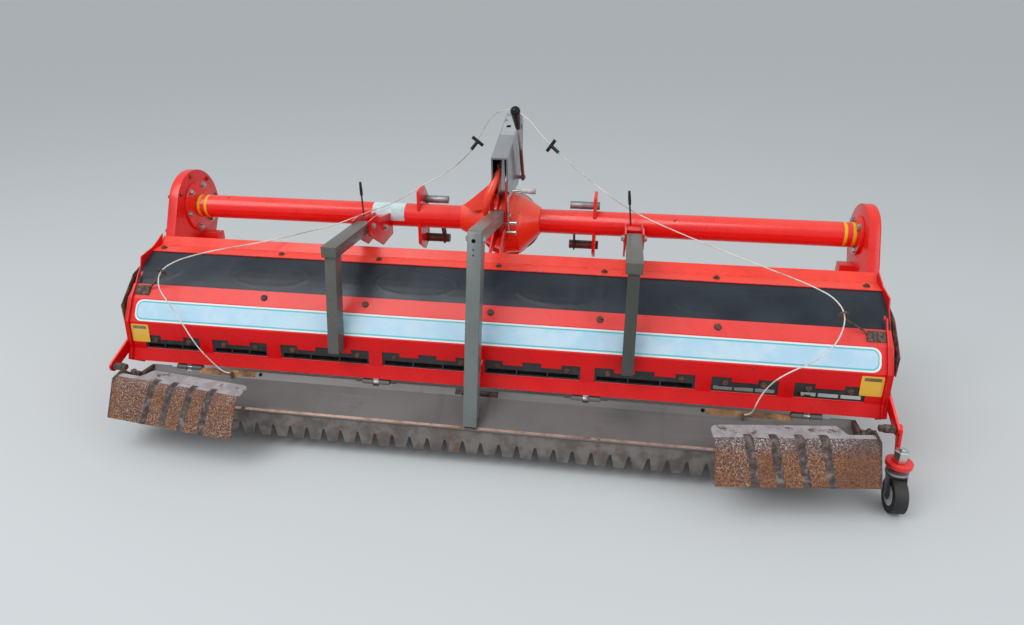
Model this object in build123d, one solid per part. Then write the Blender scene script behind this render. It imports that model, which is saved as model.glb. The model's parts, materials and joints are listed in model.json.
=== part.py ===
from build123d import *
from math import atan2, cos, degrees, hypot, pi, radians, sin, tan
import os

# Tractor-mounted drive harrow for paddy fields, two metres wide, in millimetres.
# X runs across the machine, Y points forward to the tractor, Z is up, the floor is Z = 0.
# It stands as it parks: on two front stand wheels and one rear stand wheel.
# The other rear stand wheel is missing, as on the real machine.

# Clearances between pieces
SEAT = 0.2
RUN = 0.15
SIDE_GAP = 1.0

# Main frame tube across the machine
TUBE_Y = 251.1
TUBE_Z = 527.0
TUBE_RADIUS = 38.15
TUBE_WALL = 4.2
TUBE_IN_LEFT = -145.0
TUBE_IN_RIGHT = 112.0

# Drive case on the left end, bearing support on the right end
CASE_FACE = 1076.0
CASE_THICKNESS = 36.0
CASE_LENGTH = 338.0
CASE_LEAN = 29.2
CASE_HEAD_RADIUS = 122.0
CASE_FOOT_RADIUS = 104.0
SUPPORT_HEAD_RADIUS = 95.0
SUPPORT_FOOT_RADIUS = 84.0
CASE_EDGE_RADIUS = 9.0
CAP_RADIUS = 42.0
CAP_THICKNESS = 5.0
FLANGE_THICKNESS = 9.0
SOCKET_LEFT = 1013.0
SOCKET_RIGHT = 1037.0
SOCKET_Z = 420.0
SOCKET_DEPTH = 40.0
SOCKET_HEIGHT = 30.0
CASE_FLANGE_RADIUS = 84.0
SUPPORT_FLANGE_RADIUS = 60.0
ROTOR_Y = TUBE_Y - CASE_LENGTH * sin(radians(CASE_LEAN))
ROTOR_Z = TUBE_Z - CASE_LENGTH * cos(radians(CASE_LEAN))

# Gearbox in the middle of the tube
GEAR_RADIUS = 97.0
GEAR_LEFT_SHARE = 0.86
GEAR_RIGHT_SHARE = 0.94
GEAR_DROP = 12.0
GEAR_LEFT = -38.0
GEAR_RIGHT = 52.0
SPLIT_RADIUS = 101.0
SPLIT_WIDTH = 16.0
INPUT_DROP = 42.0
INPUT_RADIUS = 84.0
INPUT_REACH = 104.0
INPUT_COVER_RADIUS = 102.0
INPUT_COVER_THICKNESS = 14.0
INPUT_NOSE_RADIUS = 46.0
INPUT_NOSE_REACH = 34.0
PTO_RADIUS = 17.5
PTO_LENGTH = 82.0
PTO_GROOVE_AT = 38.0
PTO_GROOVE_WIDTH = 8.0
PTO_GROOVE_DEPTH = 2.5
PTO_ENTRY = 30.0
GUARD_RADIUS = 76.0
GUARD_WALL = 3.0
GUARD_LENGTH = 96.0

# Rotor with bent tines
SHAFT_RADIUS = 33.0
HUB_RADIUS = 66.0
HUB_THICKNESS = 9.0
HUB_COUNT = 11
HUB_SPAN = 1850.0
TINES_PER_HUB = 4
TINE_STEP_TURN = 32.7
TINE_RADIUS = 180.0
TINE_WIDTH = 38.0
TINE_THICKNESS = 8.0
TINE_ROOT = 40.0
TINE_SWEEP = 34.0
TINE_FOOT = 62.0
END_SHAFT_RADIUS = 24.0

# Hood over the rotor
END_PLATE = 4.0
HOOD_HALF = CASE_FACE - END_PLATE - 2 * SEAT
HOOD_RADIUS = 206.0
HOOD_SHEET = 3.0
HOOD_FRONT_ANGLE = 14.0
HOOD_REAR_ANGLE = 117.0

# Section of the rear of the machine, as (forward, up) from the tube's axis
CREST = (-224.0, -37.0)
CREST_FOOT = (-246.0, -61.0)
LIP_EDGE = (-291.0, -64.0)
PANEL_TOP = (-404.0, -129.0)
PANEL_SHOULDER = (-437.0, -162.0)
PANEL_BEND = (-476.0, -223.0)
PANEL_LOWER_BEND = (-483.0, -305.0)
PANEL_EDGE = (-497.0, -339.0)
PANEL_SHEET = 3.0
GUARD_SHEET = 3.0
GUARD_FLARE = 3.0
GUARD_OUTLINE = ((-322, -82), (-386, -106), (-462, -178), (-464, -232), (-330, -232))
RUBBER_SHEET = 5.0
RUBBER_RISE = 9.0
RUBBER_TUCK = 0.4
BEND_RADIUS = 6.0
EDGE_FLANGE_X = 1058.0
EDGE_FLANGE_SHEET = 4.0
EDGE_FLANGE_RISE = 7.0
EDGE_FLANGE_TOP = (-386.0, -105.0)

# Slots in the rear panel, as (inner, outer) distances from the middle
SLOT_SPANS = ((15.0, 281.0), (320.0, 587.0), (629.0, 800.0), (840.0, 1016.0))
SLOT_BOTTOM = -303.0
SLOT_HEIGHT = 30.0
SLOT_EAR_WIDTH = 52.0
SLOT_EAR_HEIGHT = 12.0
INSERT_MARGIN = 12.0
INSERT_THICKNESS = 7.0
INSERT_WINDOW = 13.0
INSERT_RIB = 4.0
INSERT_BAYS = 3

# Levelling board hinged under the rear panel
LEVEL_INSET = 79.6
LEVEL_HALF = HOOD_HALF - LEVEL_INSET
LEVEL_SHEET = 4.0
LEVEL_PIVOT = (-489.0, -354.0)
LEVEL_CREASE = (-504.0, -370.0)
LEVEL_EDGE = (-602.0, -417.0)
LEVEL_PIN_RADIUS = 5.0
LEVEL_BARREL_RADIUS = 9.0
LEVEL_BARREL_LENGTH = 60.0
LEVEL_HINGES = (-880.0, -300.0, 300.0, 880.0)
HANGER_WIDTH = 16.0
LATCH_X = -5.0
LATCH_HALF = 61.0
LATCH_SHEET = 3.0
LATCH_LUG = 22.0
LATCH_STAND = 13.0
LATCH_PIN = 4.0
HOOK_SHEET = 4.0
PANEL_LUG = ((-478, -262), (-498, -268), (-512, -330), (-496, -337), (-481.5, -305))
PANEL_LUG_X = 6.0
PANEL_LUG_SHEET = 5.0

# Toothed rake under the board's rear edge
RAKE_SHEET = 4.0
RAKE_DROP = 71.0
RAKE_TUCK = 2.0
RAKE_LEAN = 7.0
TOOTH_DEPTH = 35.0
TOOTH_PITCH = 50.0
TOOTH_TIP = 27.0
TOOTH_ROOT_GAP = 6.0

# Folding side levellers, drawn in their working place and then folded in
FOLD_PIVOT = (-574.9, -362.5)
FOLD_SLOPE = 43.0
FOLD_SKEW = 2.65
FOLD_OUTSET = 26.0
FOLD_PIVOT_X = LEVEL_HALF + FOLD_OUTSET
FOLD_REST = 176.0
WING_LENGTH = 396.0
WING_OFFSET = 10.0
WING_SHEET = 4.0
WING_TOP = (-528.0, -366.0)
WING_BEND = (-534.0, -434.0)
WING_EDGE = (-638.0, -474.0)
WING_BEND_RADIUS = 26.0
WING_FLANGE_CUT = 70.0
FOLD_PIN_RADIUS = 5.0
FOLD_BARREL_RADIUS = 9.0
FOLD_BARREL_LENGTH = 22.0
FOLD_PLATE = 5.0
FOLD_EDGE_GAP = 14.0

# Hitch plates and pins
STAY_GAP = 26.0
HITCH_X = 279.0
HITCH_PLATE = 10.0
HITCH_TOP = 96.0
HITCH_BOTTOM = -120.0
HITCH_PIN_FORWARD = 46.0
UPPER_PIN_Z = 44.0
LOWER_PIN_Z = -88.0
UPPER_PIN_RADIUS = 12.5
LOWER_PIN_RADIUS = 14.0
HITCH_PIN_INNER = 202.0
PIN_HEAD = 8.0

# Mast over the gearbox
MAST_WIDTH = 50.0
MAST_SHEET = 4.5
MAST_OUTLINE = ((-130, 224), (165, 309), (196, 282), (190, 150), (80, 96), (-62, 96), (-124, 124))
TOP_LINK_Y = 160.0
TOP_LINK_Z = 268.0
TOP_LINK_RADIUS = 9.75

# Centre arm, hinged behind the gearbox
ARM_WIDTH = 38.0
ARM_DEPTH = 40.0
ARM_CHEEK = 5.5
ARM_PIVOT = (-108.0, 44.0)
ARM_ELBOW = (-480.0, 109.0)
ARM_END = (-602.0, -405.0)
ARM_EYE_RADIUS = 8.0
ARM_X = ARM_WIDTH / 2 + SIDE_GAP - MAST_WIDTH / 2

# Side arms
SIDE_ARM_X = 406.0
SIDE_ARM_WIDTH = 31.0
SIDE_ARM_DEPTH = 41.5
SIDE_ARM_TOP = (-476.0, 16.0)
SIDE_ARM_END = (-524.0, -255.0)
SIDE_BAR_WIDTH = 44.0
SIDE_BAR_DEPTH = 30.0
SIDE_BAR_TOP = 45.0
SIDE_BAR_REAR = -482.0
SIDE_BAR_FRONT = -205.0
SADDLE_PLATE = 6.0

# Stand wheels
WHEEL_RADIUS = 45.0
WHEEL_WIDTH = 32.0
WHEEL_HUB_RADIUS = 27.0
WHEEL_BORE = 6.0
WHEEL_TRAIL = 22.0
FORK_GAP = 3.0
FORK_SHEET = 3.0
FORK_TOP = 100.0
KINGPIN_RADIUS = 9.0
RACE_RADIUS = 27.0
RACE_THICKNESS = 6.0
STAND_X = 1042.0
STAND_AHEAD = 61.0
STAND_Y = ROTOR_Y + HOOD_RADIUS * cos(radians(HOOD_FRONT_ANGLE)) + STAND_AHEAD
STAND_TUBE = 36.0
STAND_TUBE_TOP = 330.0
REAR_WHEEL_X = 1085.0
REAR_WHEEL_BACK = -600.0
SAUCER_RADIUS = 32.0
SAUCER_THICKNESS = 10.0
SAUCER_RISE = 20.0
KINGPIN_HEIGHT = 54.0
COLLAR_RADIUS = 12.5
COLLAR_HEIGHT = 16.0
STRAP_START = (-452.0, -290.0)
STRAP_END = (-556.0, -331.0)
STRAP_RADIUS = 15.0
STRAP_SHEET = 6.0

# Ropes that pull the side levellers out, as (across, forward, up) from the tube's middle
ROPE_RADIUS = 2.0
ROPE_LEFT = (
    (-6, 167, 321), (-52, 147, 323), (-83, 122, 286), (-104, 99, 243), (-128, 74, 201),
    (-163, 50, 167), (-202, 26, 139), (-243, 2, 117), (-285, -23, 99), (-329, -47, 69),
    (-374, -72, 51), (-419, -96, 37), (-464, -121, 22), (-510, -146, 6), (-557, -172, -3),
    (-603, -198, -11), (-650, -224, -19), (-697, -250, -26), (-744, -277, -31), (-791, -305, -34),
    (-837, -332, -38), (-882, -361, -44), (-926, -390, -54), (-961, -426, -74), (-954, -459, -113),
    (-919, -476, -150), (-887, -487, -192), (-861, -494, -239), (-832, -500, -285),
    (-795, -505, -323), (-762, -509, -352), (-740, -509, -352),
)
ROPE_RIGHT = (
    (4, 166, 320), (43, 140, 304), (82, 117, 266), (119, 93, 233), (159, 69, 203), (200, 45, 175),
    (242, 21, 148), (283, -3, 122), (326, -28, 98), (370, -54, 77), (415, -79, 59),
    (462, -105, 45), (509, -131, 33), (556, -158, 22), (603, -185, 12), (649, -213, 3),
    (695, -242, -6), (742, -271, -14), (787, -300, -22), (833, -330, -29), (878, -362, -38),
    (920, -395, -50), (944, -434, -77), (934, -466, -120), (906, -487, -162), (863, -498, -194),
    (814, -505, -218), (772, -509, -253), (747, -512, -302), (738, -510, -352), (718, -510, -352),
)
ROPE_BEND_SHARE = 0.45
ROPE_EYE = (-1, 168, 300)
ROPE_EYE_TOP = (-1, 168, 330)
ROPE_EYE_RADIUS = 2.7
ROPE_STUB_RADIUS = 3.2
EYE_STUB_LENGTH = 4.5
HANDLE_RUN_COUNT = 4
HANDLE_SHIFT = 22.0
HANDLE_STEM_RADIUS = 5.5
HANDLE_STEM_LENGTH = 34.0
HANDLE_BAR_RADIUS = 5.5
HANDLE_BAR_LENGTH = 44.0
GUIDE_WIRE = 2.6
GUIDE_RING_RADIUS = 12.5
GUIDE_RING_SHIFT = 7.0
GUIDE_SHEET = 4.0
GUIDE_SPAN = (0.12, 0.75)
GUIDE_PLATE_X = 1033.0
GUIDE_PLATE_WIDTH = 46.0

# Coupler lever and lock handle beside the mast
LEVER_X = 40.0
LEVER_PIVOT = (92.0, 118.0)
LEVER_KNEE = (42.0, 210.0)
LEVER_NECK = (-25.0, 296.0)
LEVER_TOP = (-80.0, 352.0)
LEVER_ROD = 4.5
LEVER_PIN_RADIUS = 6.0
LEVER_EYE_RADIUS = 11.0
LEVER_EYE_WIDTH = 8.0
KNOB_RADIUS = 15.0
KNOB_NECK_RADIUS = 8.0
LOCK_ROD = 4.0
LOCK_BACK = -122.0
LOCK_LINE = ((0, -8), (0, 104), (16, 125), (40, 128))
LOCK_GRIP_LENGTH = 44.0
LOCK_GRIP_RADIUS = 8.0


def world(point):
    """A (forward, up) place measured from the tube's axis, in the machine's frame."""
    return (TUBE_Y + point[0], TUBE_Z + point[1])


def extrude_x(face, x_start, x_end):
    """Extrude a face drawn in (y, z) from one X to another."""
    return extrude(Plane.YZ.offset(x_start) * face, amount=x_end - x_start)


def outline(points):
    """A flat face inside straight lines."""
    return make_face(Polyline(*points, close=True))


def thicken(path, thickness, x_start, x_end, side=Side.LEFT):
    """A line in (y, z) given a thickness on one side and extruded along X."""
    return extrude_x(make_face(offset(path, amount=thickness, side=side, closed=True)), x_start, x_end)


def sheet(points, thickness, x_start, x_end, radius=BEND_RADIUS, side=Side.LEFT):
    """A bent sheet along a line in (y, z), thickened to one side and extruded along X."""
    return thicken(FilletPolyline(*points, radius=radius), thickness, x_start, x_end, side)


def rod_x(radius, x_start, x_end, y, z, bore=0.0):
    """A round bar or tube along X."""
    face = Circle(radius)
    if bore:
        face -= Circle(bore)
    return extrude_x(Pos(y, z) * face, x_start, x_end)


def place(point):
    """An (across, forward, up) place from the tube's middle, in the machine's frame."""
    return Vector(point[0], TUBE_Y + point[1], TUBE_Z + point[2])


def rod_between(start, end, radius, end_radius=None):
    """A round bar, straight or tapered, from one point to another."""
    along = end - start
    near = Plane(origin=start, z_dir=along) * Circle(radius)
    if end_radius is None:
        return extrude(near, amount=along.length)
    far = Plane(origin=end, z_dir=along) * Circle(end_radius)
    return loft([near, far])


def rope_end(end, before, length):
    """A stub that goes on from a rope's end, face to face with it."""
    start = place(end)
    along = (start - place(before)).normalized()
    return rod_between(start, start + along * length, ROPE_STUB_RADIUS)


def pair(shape):
    """A piece and its mirror image as one node."""
    return Compound(children=[shape.mirror(Plane.YZ), shape])


def capsule(start, end, start_radius, end_radius):
    """The outline round two circles and between them, in (y, z)."""
    along = Vector(end[0] - start[0], end[1] - start[1])
    lean = degrees(atan2(along.Y, along.X))
    step = start_radius - end_radius
    turn = degrees(atan2(step, (along.length**2 - step**2) ** 0.5))
    spread = 90.0 - turn

    def rim(centre, radius, angle):
        return (centre[0] + radius * cos(radians(angle)), centre[1] + radius * sin(radians(angle)))

    body = outline(
        [
            rim(start, start_radius, lean + spread),
            rim(start, start_radius, lean - spread),
            rim(end, end_radius, lean - spread),
            rim(end, end_radius, lean + spread),
        ]
    )
    return body + Pos(*start) * Circle(start_radius) + Pos(*end) * Circle(end_radius)


def both_sides(shape):
    """A right-hand piece and its mirror image, as (left, right)."""
    return shape.mirror(Plane.YZ), shape


# Frame


def frame_beams():
    bore = TUBE_RADIUS - TUBE_WALL
    flange_in = CASE_FACE - FLANGE_THICKNESS
    left = rod_x(TUBE_RADIUS, -CASE_FACE, TUBE_IN_LEFT, TUBE_Y, TUBE_Z, bore)
    left += rod_x(CASE_FLANGE_RADIUS, -CASE_FACE, -flange_in, TUBE_Y, TUBE_Z, bore)
    right = rod_x(TUBE_RADIUS, TUBE_IN_RIGHT, CASE_FACE, TUBE_Y, TUBE_Z, bore)
    right += rod_x(SUPPORT_FLANGE_RADIUS, flange_in, CASE_FACE, TUBE_Y, TUBE_Z, bore)
    return {"beam_left": left, "beam_right": right}


def end_housings():
    case_face = capsule((TUBE_Y, TUBE_Z), (ROTOR_Y, ROTOR_Z), CASE_HEAD_RADIUS, CASE_FOOT_RADIUS)
    case = extrude_x(case_face, -CASE_FACE - CASE_THICKNESS, -CASE_FACE)
    outer_edges = case.faces().sort_by(Axis.X)[0].edges()
    case = fillet(outer_edges, CASE_EDGE_RADIUS)
    support_face = capsule((TUBE_Y, TUBE_Z), (ROTOR_Y, ROTOR_Z), SUPPORT_HEAD_RADIUS, SUPPORT_FOOT_RADIUS)
    support = extrude_x(support_face, CASE_FACE, CASE_FACE + CASE_THICKNESS)
    support = fillet(support.faces().sort_by(Axis.X)[-1].edges(), CASE_EDGE_RADIUS)
    for inner, sign in ((SOCKET_LEFT, -1), (SOCKET_RIGHT, 1)):
        middle = sign * (inner + CASE_FACE) / 2
        socket = Pos(middle, TUBE_Y, SOCKET_Z) * Box(CASE_FACE - inner, SOCKET_DEPTH, SOCKET_HEIGHT)
        if sign < 0:
            case += socket
        else:
            support += socket
    bore = END_SHAFT_RADIUS + RUN
    outer = CASE_FACE + CASE_THICKNESS
    case += rod_x(CAP_RADIUS, -outer - CAP_THICKNESS, -outer, ROTOR_Y, ROTOR_Z)
    support += rod_x(CAP_RADIUS, outer, outer + CAP_THICKNESS, ROTOR_Y, ROTOR_Z)
    case -= rod_x(bore, -CASE_FACE - CASE_THICKNESS / 2, -CASE_FACE, ROTOR_Y, ROTOR_Z)
    support -= rod_x(bore, CASE_FACE, CASE_FACE + CASE_THICKNESS / 2, ROTOR_Y, ROTOR_Z)
    return {"chain_case": case, "bearing_support": support}


def ring_at(x, radius, drop=0.0):
    """A circle across the tube's axis at one X, for lofts."""
    return Plane.YZ.offset(x) * Pos(TUBE_Y, TUBE_Z - drop) * Circle(radius)


def gearbox():
    left_end = ring_at(TUBE_IN_LEFT, TUBE_RADIUS + TUBE_WALL)
    left = ring_at(GEAR_LEFT, GEAR_RADIUS * GEAR_LEFT_SHARE, GEAR_DROP / 2)
    centre = ring_at(0, GEAR_RADIUS, GEAR_DROP)
    right = ring_at(GEAR_RIGHT, GEAR_RADIUS * GEAR_RIGHT_SHARE, GEAR_DROP)
    right_end = ring_at(TUBE_IN_RIGHT, TUBE_RADIUS + TUBE_WALL)
    rings = [left_end, left, centre, right, right_end]
    body = loft(rings[:2])
    for near, far in zip(rings[1:], rings[2:]):
        body += loft([near, far])
    split = rod_x(SPLIT_RADIUS, -SPLIT_WIDTH / 2, SPLIT_WIDTH / 2, TUBE_Y, TUBE_Z - GEAR_DROP)
    neck_plane = Plane(origin=(0, TUBE_Y, TUBE_Z - INPUT_DROP), z_dir=(0, 1, 0))
    neck = extrude(neck_plane * Circle(INPUT_RADIUS), amount=INPUT_REACH)
    return body + split + neck


def input_drive():
    """The front cover with its nose, the shaft stub that turns in it and its open guard."""
    base = (0, TUBE_Y + INPUT_REACH, TUBE_Z - INPUT_DROP)
    plane = Plane(origin=base, z_dir=(0, 1, 0))
    cover = extrude(plane * Circle(INPUT_COVER_RADIUS), amount=INPUT_COVER_THICKNESS)
    nose_end = INPUT_COVER_THICKNESS + INPUT_NOSE_REACH
    cover += extrude(plane * Circle(INPUT_NOSE_RADIUS), amount=nose_end)
    cover -= extrude(plane.offset(nose_end - PTO_ENTRY) * Circle(PTO_RADIUS + RUN), amount=PTO_ENTRY)
    shaft_start = plane.offset(nose_end - PTO_ENTRY + SEAT)
    shaft = extrude(shaft_start * Circle(PTO_RADIUS), amount=PTO_ENTRY + PTO_LENGTH)
    groove = Circle(PTO_RADIUS + 1) - Circle(PTO_RADIUS - PTO_GROOVE_DEPTH)
    shaft -= extrude(plane.offset(nose_end + PTO_GROOVE_AT) * groove, amount=PTO_GROOVE_WIDTH)
    tube = Circle(GUARD_RADIUS) - Circle(GUARD_RADIUS - GUARD_WALL)
    guard = extrude(plane.offset(INPUT_COVER_THICKNESS) * tube, amount=GUARD_LENGTH)
    return {"input_cover": cover, "pto_shaft": shaft, "pto_guard": guard}


# Rotor


def tine(side):
    """One bent tine at the top of its hub, its foot turned to one side."""
    tip = TINE_RADIUS
    foot_in = tip - TINE_THICKNESS
    blade = outline(
        [
            (-TINE_WIDTH / 2, TINE_ROOT),
            (TINE_WIDTH / 2, TINE_ROOT),
            (TINE_WIDTH * 0.62, tip * 0.66),
            (TINE_SWEEP * 0.9, foot_in),
            (-TINE_WIDTH * 0.1, foot_in),
            (-TINE_WIDTH * 0.5, tip * 0.6),
        ]
    )
    leg = extrude_x(blade, 0, TINE_THICKNESS)
    arc_out = Circle(tip) - Circle(foot_in)
    window = Pos(TINE_SWEEP * 0.4, tip) * Rectangle(TINE_WIDTH, TINE_THICKNESS * 8)
    foot = extrude_x(arc_out & window, 0, TINE_FOOT)
    whole = leg + foot
    return whole if side > 0 else whole.mirror(Plane.YZ.offset(TINE_THICKNESS / 2))


def rotor():
    shaft_half = CASE_FACE - SIDE_GAP
    shaft = rod_x(SHAFT_RADIUS, -HOOD_HALF + 12, HOOD_HALF - 12, 0, 0)
    reach = shaft_half + CASE_THICKNESS / 2 - 2
    shaft += rod_x(END_SHAFT_RADIUS, -reach, reach, 0, 0)
    tines = []
    pitch = HUB_SPAN / (HUB_COUNT - 1)
    for index in range(HUB_COUNT):
        x = -HUB_SPAN / 2 + index * pitch
        shaft += rod_x(HUB_RADIUS, x - HUB_THICKNESS / 2, x + HUB_THICKNESS / 2, 0, 0)
        for count in range(TINES_PER_HUB):
            side = 1 if count % 2 else -1
            face = x + side * HUB_THICKNESS / 2
            start = face if side > 0 else face - TINE_THICKNESS
            turn = index * TINE_STEP_TURN + count * 360.0 / TINES_PER_HUB
            tines.append(Pos(start, 0, 0) * tine(side).rotate(Axis.X, turn))
    centre = Pos(0, ROTOR_Y, ROTOR_Z)
    return {"rotor_shaft": centre * shaft, "rotor_tines": centre * Compound(children=tines)}


# Hood


def hood_point(angle, radius=HOOD_RADIUS):
    return (ROTOR_Y + radius * cos(radians(angle)), ROTOR_Z + radius * sin(radians(angle)))


def hood_arc():
    turn = HOOD_REAR_ANGLE - HOOD_FRONT_ANGLE
    return CenterArc((ROTOR_Y, ROTOR_Z), HOOD_RADIUS, HOOD_FRONT_ANGLE, turn)


def top_cover():
    arc = hood_arc()
    path = arc + Line(arc @ 1, world(CREST)) + Line(world(CREST), world(CREST_FOOT))
    path += Line(world(CREST_FOOT), world(LIP_EDGE))
    return thicken(path, HOOD_SHEET, -HOOD_HALF, HOOD_HALF)


def rubber_cover():
    crest, lip = world(CREST_FOOT), world(LIP_EDGE)
    under = HOOD_SHEET + SEAT
    share = RUBBER_TUCK
    start = (crest[0] + share * (lip[0] - crest[0]), crest[1] + share * (lip[1] - crest[1]) - under)
    edge = (lip[0], lip[1] - under)
    end = (world(PANEL_TOP)[0] - 12, world(PANEL_TOP)[1] - 18)
    middle = ((edge[0] + end[0]) / 2 - RUBBER_RISE / 2, (edge[1] + end[1]) / 2 + RUBBER_RISE)
    path = Line(start, edge) + ThreePointArc(edge, middle, end)
    return thicken(path, RUBBER_SHEET, -HOOD_HALF, HOOD_HALF)


def slot_face(inner, outer):
    """One slot in (x, z): straight below, with a raised ear round each bolt."""
    face = Pos((inner + outer) / 2, SLOT_HEIGHT / 2) * Rectangle(outer - inner, SLOT_HEIGHT)
    ears = [inner + SLOT_EAR_WIDTH / 2, outer - SLOT_EAR_WIDTH / 2]
    if outer - inner > 4.5 * SLOT_EAR_WIDTH:
        ears.append((inner + outer) / 2)
    for middle in ears:
        face += Pos(middle, SLOT_HEIGHT + SLOT_EAR_HEIGHT / 2) * Rectangle(SLOT_EAR_WIDTH, SLOT_EAR_HEIGHT)
    return face


def rear_panel():
    bends = (PANEL_TOP, PANEL_SHOULDER, PANEL_BEND, PANEL_LOWER_BEND, PANEL_EDGE)
    points = [world(bend) for bend in bends]
    panel = sheet(points, PANEL_SHEET, -HOOD_HALF, HOOD_HALF)
    behind = world(PANEL_EDGE)[0] - 30
    depth = Plane(origin=(0, behind, TUBE_Z + SLOT_BOTTOM), x_dir=(1, 0, 0), z_dir=(0, -1, 0))
    for inner, outer in SLOT_SPANS:
        right = extrude(depth * slot_face(inner, outer), amount=-80)
        panel -= right
        panel -= right.mirror(Plane.YZ)
    far = EDGE_FLANGE_X + EDGE_FLANGE_SHEET
    rib = sheet([world(EDGE_FLANGE_TOP), *points], EDGE_FLANGE_RISE, EDGE_FLANGE_X, far, side=Side.RIGHT)
    panel += rib + rib.mirror(Plane.YZ)
    lug = outline([world(corner) for corner in PANEL_LUG])
    return panel + extrude_x(lug, PANEL_LUG_X, PANEL_LUG_X + PANEL_LUG_SHEET)


def slot_inserts():
    """Moulded liners behind the slots, each with windows between upright ribs."""
    low, high = world(PANEL_LOWER_BEND), world(PANEL_BEND)
    lean = atan2(high[0] - low[0], high[1] - low[1])
    liners = []
    for inner, outer in SLOT_SPANS:
        start = inner - INSERT_MARGIN if inner > INSERT_MARGIN * 2 else inner - 6
        width = outer + INSERT_MARGIN - start
        height = SLOT_HEIGHT + SLOT_EAR_HEIGHT + 14.0
        bottom = TUBE_Z + SLOT_BOTTOM - low[1] - 1.0
        plane = Plane(
            origin=(start, low[0] + PANEL_SHEET + SEAT, low[1]),
            x_dir=(1, 0, 0),
            z_dir=(0, cos(lean), -sin(lean)),
        )
        face = Pos(width / 2, -bottom - height / 2) * Rectangle(width, height)
        bay = (outer - inner - 8) / INSERT_BAYS
        for index in range(INSERT_BAYS):
            middle = inner - start + 4 + bay * (index + 0.5)
            window = Rectangle(bay - INSERT_RIB, INSERT_WINDOW)
            face -= Pos(middle, -bottom - 3 - INSERT_WINDOW / 2) * window
        liner = extrude(plane * face, amount=INSERT_THICKNESS)
        liners.append(liner)
        liners.append(liner.mirror(Plane.YZ))
    return Compound(children=liners)


def end_plates():
    """Sheet ends of the hood, following its section and closing it down to the tines."""
    front = hood_point(HOOD_FRONT_ANGLE)
    arc = hood_arc()
    corners = [
        arc @ 1,
        world((CREST[0], CREST[1] + 8)),
        world((-283, -54)),
        world((-345, -64)),
        world((-356, -90)),
        world((-394, -132)),
        world(PANEL_SHOULDER),
        world(PANEL_BEND),
        world(PANEL_LOWER_BEND),
        world(PANEL_EDGE),
        (world(PANEL_EDGE)[0] + 60, world(PANEL_EDGE)[1] - 40),
        (ROTOR_Y - 70, ROTOR_Z - 82),
        (ROTOR_Y + 90, ROTOR_Z - 82),
        (front[0] + 30, front[1] - 30),
        (front[0] + 30, front[1] + 16),
    ]
    face = make_face(arc + Polyline(*corners, arc @ 0))
    face -= Pos(ROTOR_Y, ROTOR_Z) * Circle(SHAFT_RADIUS + 12)
    plate = extrude_x(face, HOOD_HALF + SEAT, HOOD_HALF + SEAT + END_PLATE)
    return pair(plate)


def side_guards():
    """Weathered plates that flare out behind the end plates."""
    base = HOOD_HALF + END_PLATE + 2 * SEAT
    face = outline([world(corner) for corner in GUARD_OUTLINE])
    front = Axis((base, TUBE_Y - 322, 0), (0, 0, 1))
    return pair(extrude_x(face, base, base + GUARD_SHEET).rotate(front, GUARD_FLARE))


# Levelling board


def board_pivot():
    return world(LEVEL_PIVOT)


def strip_length():
    return hypot(LEVEL_CREASE[0] - LEVEL_PIVOT[0], LEVEL_CREASE[1] - LEVEL_PIVOT[1])


def strip_face(start, end, low, high):
    """A face on the board's upper strip, by distance down it and out from its inner side."""
    back = (LEVEL_CREASE[0] - LEVEL_PIVOT[0]) / strip_length()
    down = (LEVEL_CREASE[1] - LEVEL_PIVOT[1]) / strip_length()

    def at(along, out):
        return world((LEVEL_PIVOT[0] + back * along + down * out, LEVEL_PIVOT[1] + down * along - back * out))

    return outline([at(start, low), at(end, low), at(end, high), at(start, high)])


def leveller():
    points = [board_pivot(), world(LEVEL_CREASE), world(LEVEL_EDGE)]
    board = sheet(points, LEVEL_SHEET, -LEVEL_HALF, LEVEL_HALF, side=Side.RIGHT)
    y, z = board_pivot()
    reach = LEVEL_BARREL_RADIUS + SIDE_GAP + 2
    for middle in LEVEL_HINGES:
        half = LEVEL_BARREL_LENGTH / 2
        window = HANGER_WIDTH + 2 * SIDE_GAP
        for side in (-1, 1):
            near = middle + side * window / 2
            far = near + side * half
            board += rod_x(LEVEL_BARREL_RADIUS, min(near, far), max(near, far), y, z)
        board -= Pos(middle, y, z) * Box(window, 2 * reach, 2 * reach)
    for middle in LEVEL_HINGES:
        board -= rod_x(LEVEL_PIN_RADIUS + RUN, middle - 60, middle + 60, y, z)
    notch = strip_face(-6, strip_length() - 3, -2, LEVEL_SHEET + 2)
    board -= extrude_x(notch, LATCH_X - LATCH_HALF, LATCH_X + LATCH_HALF)
    for route in (ROPE_LEFT, ROPE_RIGHT):
        end = route[-1]
        near = end[0] + SEAT if end[0] > route[-2][0] else end[0] - SEAT - HOOK_SHEET
        y, z = world(end[1:])
        lug = outline([(y - 6, z + 3), (y + 6, z + 3), (y + 9, z - 14), (y - 3, z - 20)])
        board += extrude_x(lug, near, near + HOOK_SHEET)
    return board


# Hinge pins and hangers under the rear panel


def leveller_hangers():
    y, z = board_pivot()
    top, foot = world(PANEL_LOWER_BEND), world(PANEL_EDGE)
    behind = (PANEL_SHEET + SEAT) * hypot(top[0] - foot[0], top[1] - foot[1]) / (top[1] - foot[1])
    pins = []
    for middle in LEVEL_HINGES:
        half = HANGER_WIDTH / 2
        back = [(top[0] + 22, top[1]), (top[0] + behind, top[1]), (foot[0] + behind, foot[1])]
        hanger = outline([(y - 6, z), (y + 8, z - 6), (y + 14, z), *back])
        lug = extrude_x(hanger, middle - half, middle + half)
        lug += rod_x(LEVEL_BARREL_RADIUS - 1, middle - half, middle + half, y, z)
        lug += rod_x(LEVEL_PIN_RADIUS, middle - 38, middle + 38, y, z)
        pins.append(lug)
    return Compound(children=pins)


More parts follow.
